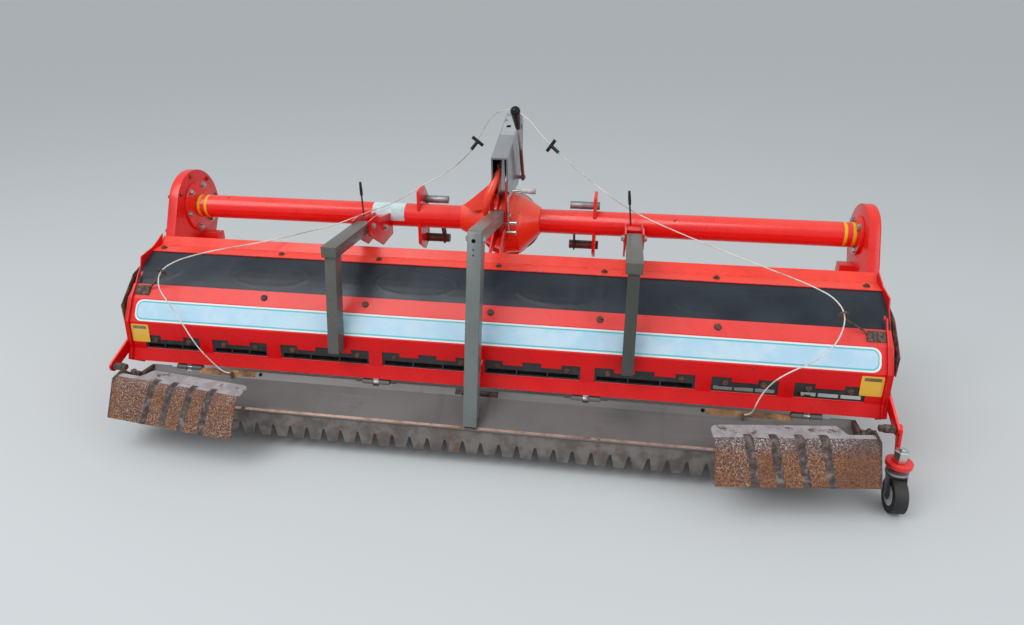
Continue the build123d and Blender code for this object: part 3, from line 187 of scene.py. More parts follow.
# %% Mesh helpers
def new_piece(name, points, faces, smooth_angle=35):
    """A mesh object from points in metres, shaded smooth except at sharp edges."""
    mesh = bpy.data.meshes.new(name)
    mesh.from_pydata([tuple(point) for point in points], [], faces)
    mesh.validate()
    mesh.shade_smooth()
    mesh.set_sharp_from_angle(angle=radians(smooth_angle))
    return put(name, mesh)


def settle(piece, smooth_angle=35):
    """Turn a piece with modifiers into a plain mesh."""
    bpy.context.view_layer.update()
    graph = bpy.context.evaluated_depsgraph_get()
    mesh = bpy.data.meshes.new_from_object(piece.evaluated_get(graph))
    mesh.name = piece.name
    piece.modifiers.clear()
    piece.data = mesh
    mesh.shade_smooth()
    mesh.set_sharp_from_angle(angle=radians(smooth_angle))


def face_outward(piece):
    """Turn every face of a closed piece to look outward."""
    work = bmesh.new()
    work.from_mesh(piece.data)
    bmesh.ops.recalc_face_normals(work, faces=work.faces)
    work.to_mesh(piece.data)
    work.free()


MERGE_REACH = 0.00002
FLAT_WITHIN = radians(0.5)


def tidy_mesh(node_name):
    """The points and faces of a CAD node: doubles merged, slivers gone, flat faces cut evenly."""
    work = bmesh.new()
    work.from_mesh(frame["nodes"][node_name].data)
    bmesh.ops.remove_doubles(work, verts=work.verts, dist=MERGE_REACH)
    bmesh.ops.dissolve_limit(work, angle_limit=FLAT_WITHIN, verts=work.verts, edges=work.edges)
    bmesh.ops.dissolve_degenerate(work, dist=MERGE_REACH, edges=work.edges)
    bmesh.ops.triangulate(work, faces=work.faces)
    work.verts.index_update()
    points = [vert.co.copy() for vert in work.verts]
    faces = [[vert.index for vert in face.verts] for face in work.faces]
    work.free()
    return points, faces


def body_of_node(node_name):
    for body, members in frame["record"]["behaviour"]["bodies"].items():
        if node_name in members:
            return body


ROLLED_FROM = radians(38)


def rolled_copy(node_name, width, smooth_angle=35):
    """A copy of a CAD node with its sharp edges rolled over by a width in millimetres."""
    points, faces = tidy_mesh(node_name)
    piece = new_piece(node_name + "_body", points, faces)
    bevel = piece.modifiers.new("rolled_edges", "BEVEL")
    bevel.width = width * MM
    bevel.segments = 2
    bevel.limit_method = "ANGLE"
    bevel.angle_limit = ROLLED_FROM
    bevel.use_clamp_overlap = True
    for _ in range(2):
        piece.data.materials.append(None)
    bevel.material = 1
    settle(piece, smooth_angle)
    mark = piece.data.attributes.new("rolled", "FLOAT", "FACE")
    for face in piece.data.polygons:
        mark.data[face.index].value = float(face.material_index == 1)
        face.material_index = 0
    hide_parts(node_name)
    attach(piece, body_of_node(node_name))
    return piece


def join_parts(parts):
    """One list of points and faces from several."""
    points, faces = [], []
    for more_points, more_faces in parts:
        start = len(points)
        points.extend(more_points)
        faces.extend([[index + start for index in face] for face in more_faces])
    return points, faces


def row_faces(rows, count, close_rows=False, close_count=True):
    """Faces between rows of points that follow each other; each row has the same count."""
    faces = []
    for row in range(rows if close_rows else rows - 1):
        here, up = row * count, (row + 1) % rows * count
        for step in range(count if close_count else count - 1):
            ahead = (step + 1) % count
            faces.append([here + step, here + ahead, up + ahead, up + step])
    return faces


def end_faces(rows, count):
    """The two faces that close a turned shape or a bar."""
    return [list(range(count))[::-1], [(rows - 1) * count + step for step in range(count)]]


def slab(low_points, high_points):
    """Points and faces of a plate between two matching outlines."""
    count = len(low_points)
    return low_points + high_points, end_faces(2, count) + row_faces(2, count)


def circle(sides):
    """The angles of the corners of a regular polygon."""
    return [2 * pi * side / sides for side in range(sides)]


def spin_part(profile, place, direction, sides=24):
    """Points and faces of a turned shape: (radius, distance along) rows round an axis."""
    turn = Vector(direction).to_track_quat("Z", "Y")
    points = []
    for radius, along in profile:
        for angle in circle(sides):
            offset = Vector((radius * cos(angle), radius * sin(angle), along)) * MM
            points.append(Vector(place) + turn @ offset)
    return points, row_faces(len(profile), sides) + end_faces(len(profile), sides)


def tube_part(path, radius, sides=10):
    """Points and faces of a round bar along points in metres; radius is one or one each."""
    count = len(path)
    radii = radius if isinstance(radius, (list, tuple)) else [radius] * count
    tangents = []
    for index in range(count):
        before, after = path[max(index - 1, 0)], path[min(index + 1, count - 1)]
        tangents.append((after - before).normalized())
    normal = tangents[0].orthogonal().normalized()
    points = []
    for index, tangent in enumerate(tangents):
        normal = (normal - tangent * normal.dot(tangent)).normalized()
        across = tangent.cross(normal)
        for angle in circle(sides):
            offset = normal * cos(angle) + across * sin(angle)
            points.append(path[index] + offset * radii[index] * MM)
    return points, row_faces(count, sides) + end_faces(count, sides)


def finish_piece(piece, body, material):
    """Give a new piece its material and its body."""
    piece.data.materials.clear()
    piece.data.materials.append(material)
    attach(piece, body)


print("helpers ready")

# %% [markdown]
# ## Shader groups
# Paint, rust and rubber share a few effects. Each is a node group with named inputs: blotches
# make irregular patches, scratches make fine lines, settled dust lies on what faces up, and
# worn edges read a mark on the faces of rolled edges, where paint rubs through first. A group
# gives masks and colours only, and each material keeps its own shader.

# %% Group helpers
def new_group(name, inputs, outputs, tree_kind="ShaderNodeTree"):
    """An empty group with (name, kind, default) inputs and (name, kind) outputs."""
    tree = bpy.data.node_groups.new(name, tree_kind)
    for label, kind, default in inputs:
        socket = tree.interface.new_socket(label, in_out="INPUT", socket_type="NodeSocket" + kind)
        if default is not None:
            socket.default_value = default
    for label, kind in outputs:
        tree.interface.new_socket(label, in_out="OUTPUT", socket_type="NodeSocket" + kind)
    return tree, tree.nodes.new("NodeGroupInput"), tree.nodes.new("NodeGroupOutput")


def feed(tree, socket, value):
    """Set a socket to a value, or link it to another socket."""
    if isinstance(value, bpy.types.NodeSocket):
        tree.links.new(value, socket)
    else:
        socket.default_value = value


def add(tree, kind, settings=None, **inputs):
    """A node with its settings, its sockets set to values or linked to other sockets."""
    item = tree.nodes.new("ShaderNode" + kind)
    for key, value in (settings or {}).items():
        setattr(item, key, value)
    for key, value in inputs.items():
        number = key[1:]
        named = key.replace("_", " ")
        feed(tree, item.inputs[int(number)] if number.isdigit() else item.inputs[named], value)
    return item


def add_math(tree, operation, first, second=0.0, clamp=False):
    return add(tree, "Math", {"operation": operation, "use_clamp": clamp}, i0=first,
               i1=second).outputs[0]


def add_mix(tree, share, first, second, blend="MIX"):
    """A colour between two colours, or a blend of them."""
    item = add(tree, "Mix", {"data_type": "RGBA", "blend_type": blend}, i0=share, i6=first,
               i7=second)
    return item.outputs[2]


def add_step(tree, value, low, high, out_low=0.0, out_high=1.0):
    """A smooth step from one value to another between two limits."""
    item = add(tree, "MapRange", {"interpolation_type": "SMOOTHSTEP"}, i0=value, i1=low, i2=high,
               i3=out_low, i4=out_high)
    return item.outputs[0]


def use_group(tree, group, **inputs):
    """A group node in a material, its named inputs set or linked."""
    item = tree.nodes.new("ShaderNodeGroup")
    item.node_tree = group
    for key, value in inputs.items():
        feed(tree, item.inputs[key.replace("_", " ")], value)
    return item


# %% Blotches and scratches
blotches, inside, outside = new_group(
    "blotches",
    [("Vector", "Vector", None), ("Scale", "Float", 20.0), ("Level", "Float", 0.55),
     ("Softness", "Float", 0.05), ("Detail", "Float", 6.0)], [("Mask", "Float")],
)
noise = add(blotches, "TexNoise", i0=inside.outputs[0], Scale=inside.outputs[1],
            Detail=inside.outputs[4])
noise.inputs["Roughness"].default_value = 0.62
low = add_math(blotches, "SUBTRACT", inside.outputs[2], inside.outputs[3])
high = add_math(blotches, "ADD", inside.outputs[2], inside.outputs[3])
blotches.links.new(add_step(blotches, noise.outputs[0], low, high), outside.inputs[0])

scratches, inside, outside = new_group(
    "scratches",
    [("Vector", "Vector", None), ("Scale", "Float", 30.0), ("Stretch", "Vector", (0.05, 1.0, 1.0)),
     ("Level", "Float", 0.62)], [("Mask", "Float")],
)
spread = add(scratches, "VectorMath", {"operation": "MULTIPLY"}, i0=inside.outputs[0],
             i1=inside.outputs[2])
lines = add(scratches, "TexNoise", i0=spread.outputs[0], Scale=inside.outputs[1], Detail=4.0)
high = add_math(scratches, "ADD", inside.outputs[3], 0.06)
scratches.links.new(add_step(scratches, lines.outputs[0], inside.outputs[3], high),
                    outside.inputs[0])

# %% Settled dust and worn edges
settled_dust, inside, outside = new_group(
    "settled_dust",
    [("Vector", "Vector", None), ("Amount", "Float", 0.4), ("Scale", "Float", 9.0)],
    [("Mask", "Float")],
)
facing = add(settled_dust, "NewGeometry")
upward = add(settled_dust, "SeparateXYZ", i0=facing.outputs["Normal"])
level = add_step(settled_dust, upward.outputs[2], 0.1, 0.95)
cloud = add(settled_dust, "TexNoise", i0=inside.outputs[0], Scale=inside.outputs[2], Detail=7.0)
patchy = add_step(settled_dust, cloud.outputs[0], 0.30, 0.75)
amount = add_math(settled_dust, "MULTIPLY", level, inside.outputs[1])
settled_dust.links.new(add_math(settled_dust, "MULTIPLY", amount, patchy, clamp=True),
                       outside.inputs[0])

worn_edges, inside, outside = new_group(
    "worn_edges", [("Vector", "Vector", None), ("Amount", "Float", 0.8)], [("Mask", "Float")])
rolled_mark = add(worn_edges, "Attribute", {"attribute_name": "rolled"})
edge_noise = add(worn_edges, "TexNoise", i0=inside.outputs[0], Scale=45.0, Detail=6.0)
ragged = add_step(worn_edges, edge_noise.outputs[0], 0.42, 0.56)
edge_step = add_math(worn_edges, "MULTIPLY", rolled_mark.outputs["Fac"], ragged)
worn_edges.links.new(add_math(worn_edges, "MULTIPLY", edge_step, inside.outputs[1], clamp=True),
                     outside.inputs[0])
print("groups:", [group.name for group in bpy.data.node_groups])

# %% [markdown]
# ## Enamel
# The red enamel has had years of sun and mud: it is paler and more orange where it faces up,
# chipped down to rust in small spots, streaked with dust low down, and rubbed at its edges.
# The paleness on top is partly sun fade and partly painted light from the sky.
# One group gives the colour, roughness and height of such paint, and each colour of enamel is
# a material of its own, because the gloss belongs to the shader.

# %% Enamel group
aged_enamel, inside, outside = new_group(
    "aged_enamel",
    [
        ("Vector", "Vector", None), ("Paint", "Color", (0.6, 0.02, 0.01, 1)),
        ("Faded", "Color", (0.8, 0.15, 0.1, 1)), ("Undercoat", "Color", (0.08, 0.03, 0.02, 1)),
        ("Dust", "Color", (0.42, 0.37, 0.31, 1)), ("Fade", "Float", 0.5), ("Chips", "Float", 0.70),
        ("Chip Scale", "Float", 38.0), ("Dust Amount", "Float", 0.3), ("Edge Wear", "Float", 0.6),
    ],
    [("Color", "Color"), ("Roughness", "Float"), ("Height", "Float")],
)
(where, paint, faded_and_sky_lit, undercoat, dust_colour, fade_and_sky_light, chip_level, chip_scale, dust_amount,
 edge_amount) = inside.outputs[:10]
facing = add(aged_enamel, "NewGeometry")
upward = add(aged_enamel, "SeparateXYZ", i0=facing.outputs["Normal"])
# Faces that look up mix towards the Faded colour: partly sun fade, partly painted sky light.
lit = add_step(aged_enamel, upward.outputs[2], 0.25, 0.98)
uneven = add(aged_enamel, "TexNoise", i0=where, Scale=3.5, Detail=5.0)
uneven_step = add_step(aged_enamel, uneven.outputs[0], 0.25, 0.75, 0.75, 1.0)
fade_and_sky_light_share = add_math(aged_enamel, "MULTIPLY", add_math(aged_enamel, "MULTIPLY", lit, uneven_step),
                      fade_and_sky_light)
colour = add_mix(aged_enamel, fade_and_sky_light_share, paint, faded_and_sky_lit)
mottle = add(aged_enamel, "TexNoise", i0=where, Scale=16.0, Detail=8.0)
mottle_step = add_step(aged_enamel, mottle.outputs[0], 0.3, 0.7, 0.94, 1.04)
colour = add_mix(aged_enamel, 1.0, colour, mottle_step, "MULTIPLY")
dust = use_group(aged_enamel, settled_dust, Vector=where, Amount=dust_amount, Scale=7.0)
colour = add_mix(aged_enamel, dust.outputs[0], colour, dust_colour)
grime = use_group(aged_enamel, blotches, Vector=where, Scale=5.0, Level=0.64, Softness=0.12)
grime_share = add_math(aged_enamel, "MULTIPLY", grime.outputs[0],
                       add_math(aged_enamel, "MULTIPLY", dust_amount, 0.55))
colour = add_mix(aged_enamel, grime_share, colour, dust_colour)
chips = use_group(aged_enamel, blotches, Vector=where, Scale=chip_scale, Level=chip_level,
                  Softness=0.012)
edges = use_group(aged_enamel, worn_edges, Vector=where, Amount=edge_amount)
bare = add_math(aged_enamel, "MAXIMUM", chips.outputs[0], edges.outputs[0])
colour = add_mix(aged_enamel, bare, colour, undercoat)
aged_enamel.links.new(colour, outside.inputs[0])
rough = add_step(aged_enamel, mottle.outputs[0], 0.25, 0.8, 0.22, 0.40)
rough = add_math(aged_enamel, "ADD", rough, add_math(aged_enamel, "MULTIPLY", dust.outputs[0], 0.5))
rough = add_math(aged_enamel, "ADD", rough, add_math(aged_enamel, "MULTIPLY", bare, 0.4),
                 clamp=True)
aged_enamel.links.new(rough, outside.inputs[1])
peel = add(aged_enamel, "TexNoise", i0=where, Scale=260.0, Detail=2.0)
height = add_math(aged_enamel, "SUBTRACT", add_math(aged_enamel, "MULTIPLY", peel.outputs[0], 0.10),
                  bare)
aged_enamel.links.new(height, outside.inputs[2])


# %% Enamel materials
def start_material(name):
    """A material with its tree, its shader and Object coordinates."""
    material = bpy.data.materials.new(name)
    material.use_nodes = True
    tree = material.node_tree
    where = add(tree, "TexCoord").outputs["Object"]
    return material, tree, tree.nodes["Principled BSDF"], where


def link_relief(tree, shader, height, strength, distance):
    bump = add(tree, "Bump", Strength=strength, Distance=distance, Height=height)
    tree.links.new(bump.outputs[0], shader.inputs["Normal"])


def link_look(tree, shader, look, strength, distance):
    """Link a group's colour, roughness and height to a material's shader."""
    tree.links.new(look.outputs["Color"], shader.inputs["Base Color"])
    tree.links.new(look.outputs["Roughness"], shader.inputs["Roughness"])
    link_relief(tree, shader, look.outputs["Height"], strength, distance)


def enamel(name, paint, faded_and_sky_lit, coat=0.35, specular=0.5, **wear):
    """Painted metal; wear sets the aged enamel group's inputs."""
    material, tree, shader, where = start_material(name)
    look = use_group(tree, aged_enamel, Vector=where, Paint=(*paint, 1), Faded=(*faded_and_sky_lit, 1), **wear)
    shader.inputs["Coat Weight"].default_value = coat
    shader.inputs["Coat Roughness"].default_value = 0.12
    shader.inputs["Specular IOR Level"].default_value = specular
    link_look(tree, shader, look, 0.35, 0.0006)
    return material


# Each Faded colour is what faces that look up get: sun fade together with painted light from the
# sky.
red_gloss = enamel("red_gloss", (0.76, 0.008, 0.006), (0.92, 0.045, 0.030), coat=0.25, Fade=0.55,
                   Chips=0.735, Dust_Amount=0.02)
beam_red = enamel("beam_red", (0.86, 0.011, 0.008), (0.96, 0.085, 0.062), coat=0.28, Fade=0.60,
                  Chips=0.695, Chip_Scale=24.0, Dust_Amount=0.02, Edge_Wear=0.5)
red_faded_and_sky_lit = enamel("red_faded_and_sky_lit", (0.66, 0.003, 0.005), (0.96, 0.140, 0.125), coat=0.04,
                   specular=0.22, Fade=0.85, Chips=0.725, Dust_Amount=0.03)
cover_red = enamel("cover_red", (0.84, 0.020, 0.012), (0.96, 0.072, 0.040), coat=0.12, Fade=0.80,
                   Chips=0.725, Dust_Amount=0.025)
orange_red = enamel("orange_red", (0.92, 0.044, 0.016), (0.98, 0.150, 0.085), coat=0.26, Fade=0.80,
                    Chips=0.76, Dust_Amount=0.015)
arm_grey = enamel("arm_grey", (0.098, 0.098, 0.090), (0.135, 0.125, 0.105), coat=0.05, Fade=0.7,
                  Chips=0.69, Chip_Scale=60.0, Dust_Amount=0.12, Dust=(0.22, 0.20, 0.17, 1),
                  Undercoat=(0.10, 0.045, 0.025, 1))
# A darker copy of the grey arm enamel: painted shade for the right-hand side arm.
arm_grey_shaded = enamel("arm_grey_shaded", (0.050, 0.057, 0.050), (0.10, 0.10, 0.088), coat=0.05, Fade=0.7,
                  Chips=0.69, Chip_Scale=60.0, Dust_Amount=0.12, Dust=(0.20, 0.19, 0.16, 1),
                  Undercoat=(0.10, 0.045, 0.025, 1))
centre_grey = enamel("centre_grey", (0.150, 0.170, 0.168), (0.175, 0.155, 0.125), coat=0.08,
                     Fade=0.7, Chips=0.71, Chip_Scale=60.0, Dust_Amount=0.06,
                     Dust=(0.26, 0.25, 0.23, 1), Undercoat=(0.10, 0.045, 0.025, 1))
mast_grey = enamel("mast_grey", (0.125, 0.135, 0.150), (0.30, 0.32, 0.355), coat=0.40, Fade=0.8,
                   Chips=0.80, Dust_Amount=0.03, Undercoat=(0.16, 0.14, 0.13, 1))
cream_enamel = enamel("cream_enamel", (0.62, 0.58, 0.46), (0.70, 0.66, 0.54), coat=0.1, Fade=0.5,
                      Chips=0.66, Dust_Amount=0.3)
black_enamel = enamel("black_enamel", (0.022, 0.022, 0.024), (0.05, 0.05, 0.052), coat=0.2,
                      Fade=0.6, Chips=0.72, Dust_Amount=0.2)
print("enamels:", [item.name for item in bpy.data.materials])

# %% [markdown]
# ## Rust and bare steel
# The side levellers have lost their paint: their rust is speckled, brown with bright spots
# and dark pits. The rake and tines are steel that soil has polished, and the levelling board
# is a worn grey plate whose rear edge is rubbed bare, with a painted highlight in its copper
# colour. All use one rust group with different amounts.

# %% Rust group
speckled_rust, inside, outside = new_group(
    "speckled_rust",
    [
        ("Vector", "Vector", None), ("Dark", "Color", (0.05, 0.025, 0.02, 1)),
        ("Middle", "Color", (0.17, 0.085, 0.055, 1)), ("Bright", "Color", (0.36, 0.20, 0.13, 1)),
        ("Scale", "Float", 170.0), ("Patch Scale", "Float", 7.0), ("Speck Share", "Float", 1.0),
    ],
    [("Color", "Color"), ("Roughness", "Float"), ("Height", "Float")],
)
where, dark, middle, bright, speck_scale, patch_scale, speck_share = inside.outputs[:7]
specks = add(speckled_rust, "TexNoise", i0=where, Scale=speck_scale, Detail=5.0, Roughness=0.7)
patches = add(speckled_rust, "TexNoise", i0=where, Scale=patch_scale, Detail=6.0)
colour = add_mix(speckled_rust, add_step(speckled_rust, specks.outputs[0], 0.40, 0.52), dark,
                 middle)
bright_share = add_math(speckled_rust, "MULTIPLY",
                        add_step(speckled_rust, specks.outputs[0], 0.53, 0.62), speck_share)
colour = add_mix(speckled_rust, bright_share, colour, bright)
patch_share = add_step(speckled_rust, patches.outputs[0], 0.42, 0.66, 0.0, 0.55)
colour = add_mix(speckled_rust, patch_share, colour, dark)
speckled_rust.links.new(colour, outside.inputs[0])
speckled_rust.links.new(add_step(speckled_rust, specks.outputs[0], 0.3, 0.7, 0.88, 0.62),
                        outside.inputs[1])
speckled_rust.links.new(specks.outputs[0], outside.inputs[2])


# %% Bare metal materials
def rusted(name, dark, middle, bright, scale, patch_scale=7.0, metal=0.0):
    material, tree, shader, where = start_material(name)
    look = use_group(tree, speckled_rust, Vector=where, Dark=(*dark, 1), Middle=(*middle, 1),
                     Bright=(*bright, 1), Scale=scale, Patch_Scale=patch_scale)
    shader.inputs["Metallic"].default_value = metal
    link_look(tree, shader, look, 0.5, 0.0008)
    return material


dark_rust = rusted("dark_rust", (0.045, 0.030, 0.026), (0.10, 0.062, 0.048), (0.22, 0.13, 0.09),
                   110.0)
guard_rust = rusted("guard_rust", (0.05, 0.026, 0.020), (0.14, 0.075, 0.052), (0.26, 0.16, 0.11),
                    60.0, 5.0)


def plated(name, colour, dull, rough_low, rough_high, metal=1.0, stain=(0.20, 0.13, 0.08),
           stain_level=0.66):
    """Zinc, chrome or polished steel with stains."""
    material, tree, shader, where = start_material(name)
    cloudy = add(tree, "TexNoise", i0=where, Scale=30.0, Detail=5.0)
    base = add_mix(tree, add_step(tree, cloudy.outputs[0], 0.35, 0.65), (*colour, 1), (*dull, 1))
    stains = use_group(tree, blotches, Vector=where, Scale=24.0, Level=stain_level, Softness=0.06)
    tree.links.new(add_mix(tree, stains.outputs[0], base, (*stain, 1)), shader.inputs["Base Color"])
    shine = add_step(tree, cloudy.outputs[0], 0.3, 0.7, rough_low, rough_high)
    rough = add_math(tree, "ADD", shine, add_math(tree, "MULTIPLY", stains.outputs[0], 0.35),
                     clamp=True)
    tree.links.new(rough, shader.inputs["Roughness"])
    metallic = add_math(tree, "SUBTRACT", metal, add_math(tree, "MULTIPLY", stains.outputs[0], 0.7),
                        clamp=True)
    tree.links.new(metallic, shader.inputs["Metallic"])
    link_relief(tree, shader, cloudy.outputs[0], 0.12, 0.0005)
    return material


zinc = plated("zinc", (0.62, 0.62, 0.60), (0.42, 0.42, 0.41), 0.28, 0.48)
bright_zinc = plated("bright_zinc", (0.78, 0.78, 0.76), (0.60, 0.60, 0.59), 0.16, 0.30,
                     stain_level=0.72)
tine_steel = plated("tine_steel", (0.20, 0.18, 0.165), (0.11, 0.085, 0.07), 0.35, 0.6, metal=0.75,
                    stain=(0.12, 0.06, 0.035), stain_level=0.55)
rake_steel = plated("rake_steel", (0.195, 0.175, 0.165), (0.120, 0.098, 0.086), 0.36, 0.55,
                    metal=0.3, stain=(0.135, 0.080, 0.058), stain_level=0.62)
pin_grey = plated("pin_grey", (0.42, 0.43, 0.44), (0.30, 0.30, 0.30), 0.34, 0.52, metal=0.7,
                  stain=(0.12, 0.09, 0.07), stain_level=0.64)
pin_steel = plated("pin_steel", (0.20, 0.17, 0.155), (0.11, 0.09, 0.08), 0.30, 0.5, metal=0.8,
                   stain=(0.12, 0.06, 0.04), stain_level=0.6)


def two_part(name, colour_a, metal_a, rough_a, colour_b, metal_b, rough_b, axis, limit, blur):
    """Metal whose finish changes at a place along an axis: a before it, b past it."""
    material, tree, shader, where = start_material(name)
    place = add(tree, "SeparateXYZ", i0=where)
    share = add_step(tree, place.outputs[axis], limit - blur, limit + blur)
    cloudy = add(tree, "TexNoise", i0=where, Scale=70.0, Detail=5.0)
    worn = add_step(tree, cloudy.outputs[0], 0.35, 0.65, 0.72, 1.15)
    base = add_mix(tree, share, (*colour_a, 1), (*colour_b, 1))
    tree.links.new(add_mix(tree, 1.0, base, worn, "MULTIPLY"), shader.inputs["Base Color"])
    tree.links.new(add_step(tree, share, 0.0, 1.0, metal_a, metal_b), shader.inputs["Metallic"])
    tree.links.new(add_step(tree, share, 0.0, 1.0, rough_a, rough_b), shader.inputs["Roughness"])
    link_relief(tree, shader, cloudy.outputs[0], 0.3, 0.0005)
    return material


lever_finish = two_part("lever_finish", (0.26, 0.045, 0.032), 0.0, 0.55, (0.44, 0.43, 0.41), 0.2,
                        0.40, 2, TUBE_Z + 0.222, 0.006)
lock_finish = two_part("lock_finish", (0.60, 0.60, 0.58), 0.9, 0.34, (0.46, 0.45, 0.42), 0.0, 0.55,
                       0, 0.061, 0.001)
print("materials so far:", len(bpy.data.materials))

# %% [markdown]
# ## Two laid ropes
# Each rope hangs from the eye at the top of the mast, runs out over the machine to a guide at
# the corner of the hood, and comes back under it to a lug on the levelling board, which the
# farmer lifts by it. A NURBS spline through the route's points gives a smooth hanging line.
# The rope itself is three strands twisted round that line, as thin rope is laid.

# %% Rope routes
ROPE_RADIUS = 2.0
ROUTE_LEFT = [
    (-6, 167, 321), (-52, 147, 323), (-83, 122, 286), (-104, 99, 243), (-128, 74, 201),
    (-163, 50, 167), (-202, 26, 139), (-243, 2, 117), (-285, -23, 99), (-329, -47, 69),
    (-374, -72, 51), (-419, -96, 37), (-464, -121, 22), (-510, -146, 6), (-557, -172, -3),
    (-603, -198, -11), (-650, -224, -19), (-697, -250, -26), (-744, -277, -31), (-791, -305, -34),
    (-837, -332, -38), (-882, -361, -44), (-926, -390, -54), (-961, -426, -74), (-954, -459, -113),
    (-919, -476, -150), (-887, -487, -192), (-861, -494, -239), (-832, -500, -285),
    (-795, -505, -323), (-762, -509, -352), (-740, -509, -352),
]
ROUTE_RIGHT = [
    (4, 166, 320), (43, 140, 304), (82, 117, 266), (119, 93, 233), (159, 69, 203), (200, 45, 175),
    (242, 21, 148), (283, -3, 122), (326, -28, 98), (370, -54, 77), (415, -79, 59), (462, -105, 45),
    (509, -131, 33), (556, -158, 22), (603, -185, 12), (649, -213, 3), (695, -242, -6),
    (742, -271, -14), (787, -300, -22), (833, -330, -29), (878, -362, -38), (920, -395, -50),
    (944, -434, -77), (934, -466, -120), (906, -487, -162), (863, -498, -194), (814, -505, -218),
    (772, -509, -253), (747, -512, -302), (738, -510, -352), (718, -510, -352),
]


def spline_points(name, route):
    """Points along the NURBS spline of a route."""
    curve = bpy.data.curves.new(name, "CURVE")
    curve.dimensions = "3D"
    curve.resolution_u = 10
    spline = curve.splines.new("NURBS")
    spline.points.add(len(route) - 1)
    for point, place in zip(spline.points, route):
        point.co = (*at(*place), 1)
    spline.order_u = 3
    spline.use_endpoint_u = True
    holder = put(name, curve)
    bpy.context.view_layer.update()
    graph = bpy.context.evaluated_depsgraph_get()
    mesh = bpy.data.meshes.new_from_object(holder.evaluated_get(graph))
    points = [vert.co.copy() for vert in mesh.vertices]
    bpy.data.objects.remove(holder)
    return points


def path_length(points):
    return sum((after - before).length for before, after in zip(points, points[1:]))


def along_path(points, step):
    """Points at even steps along a path."""
    count = max(2, round(path_length(points) / step))
    spacing = path_length(points) / count
    result, walked = [points[0]], 0.0
    for before, after in zip(points, points[1:]):
        run = (after - before).length
        while walked + run >= spacing * len(result) - 1e-9 and len(result) < count:
            result.append(before.lerp(after, (spacing * len(result) - walked) / run))
        walked += run
    return result + [points[-1]]


line_left = spline_points("line_left", ROUTE_LEFT)
line_right = spline_points("line_right", ROUTE_RIGHT)
print("rope lengths:", round(path_length(line_left), 3), round(path_length(line_right), 3), "m")

# %% Rope strands and material
STRANDS = 3
ROPE_STEP = 2.8
LAY_LENGTH = 16.0
STRAND_RADIUS = 1.08


def laid_rope(name, line):
    """Three strands twisted round a line; their outer circle has the rope's radius."""
    middle = along_path(line, ROPE_STEP * MM)
    parts = []
    normal = (middle[1] - middle[0]).orthogonal().normalized()
    frames = []
    for index, point in enumerate(middle):
        ahead = middle[min(index + 1, len(middle) - 1)] - middle[max(index - 1, 0)]
        ahead.normalize()
        normal = (normal - ahead * normal.dot(ahead)).normalized()
        frames.append((point, normal.copy(), ahead.cross(normal)))
    for strand in range(STRANDS):
        path = []
        for index, (point, side, other) in enumerate(frames):
            angle = 2 * pi * (strand / STRANDS + index * ROPE_STEP / LAY_LENGTH)
            offset = side * cos(angle) + other * sin(angle)
            path.append(point + offset * (ROPE_RADIUS - STRAND_RADIUS) * MM)
        parts.append(tube_part(path, STRAND_RADIUS, sides=5))
    return new_piece(name, *join_parts(parts), smooth_angle=80)


rope_look, tree, shader, where = start_material("rope_fibre")
fibre = add(tree, "TexNoise", i0=where, Scale=900.0, Detail=3.0)
soiled = use_group(tree, blotches, Vector=where, Scale=12.0, Level=0.56, Softness=0.14)
clean = add_mix(tree, add_step(tree, fibre.outputs[0], 0.35, 0.65), (0.66, 0.64, 0.59, 1),
                (0.86, 0.85, 0.81, 1))
tree.links.new(add_mix(tree, soiled.outputs[0], clean, (0.40, 0.36, 0.30, 1)),
               shader.inputs["Base Color"])
shader.inputs["Roughness"].default_value = 0.9
link_relief(tree, shader, fibre.outputs[0], 0.4, 0.0004)

for side, line in (("left", line_left), ("right", line_right)):
    rope = laid_rope("pull_rope_" + side, line)
    rope.data.materials.append(rope_look)
    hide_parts("rope_" + side)
    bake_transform(rope)
    print(rope.name, len(rope.data.polygons), "faces")

# %% [markdown]
# ## Rubber, plastic and worn plate
# The apron between the hood and the rear panel is a blue-grey rubber sheet with a dull sheen
# and brown drip marks. The levelling board is bare plate: long scratches run across it where
# soil slid over it. Both need a pattern that is stretched one way, which the scratches group
# gives when its vector is squeezed.

# %% Rubber and plastics
def plastic(name, colour, spread, rough, noise_scale=40.0, dust=0.25,
            dust_colour=(0.30, 0.27, 0.23), relief=0.2, specular=0.5):
    """Rubber or plastic: mottled, dusty where it faces up, with a fine grain."""
    material, tree, shader, where = start_material(name)
    cloudy = add(tree, "TexNoise", i0=where, Scale=noise_scale, Detail=6.0)
    paler = tuple(min(1.0, value * spread + 0.004) for value in colour)
    base = add_mix(tree, add_step(tree, cloudy.outputs[0], 0.35, 0.68), (*colour, 1), (*paler, 1))
    settled = use_group(tree, settled_dust, Vector=where, Amount=dust, Scale=11.0)
    tree.links.new(add_mix(tree, settled.outputs[0], base, (*dust_colour, 1)),
                   shader.inputs["Base Color"])
    shine = add_step(tree, cloudy.outputs[0], 0.3, 0.7, rough, min(0.95, rough + 0.16))
    tree.links.new(add_math(tree, "ADD", shine, add_math(tree, "MULTIPLY", settled.outputs[0], 0.4),
                            clamp=True), shader.inputs["Roughness"])
    grain = add(tree, "TexNoise", i0=where, Scale=420.0, Detail=2.0)
    link_relief(tree, shader, grain.outputs[0], relief, 0.0004)
    shader.inputs["Specular IOR Level"].default_value = specular
    return material


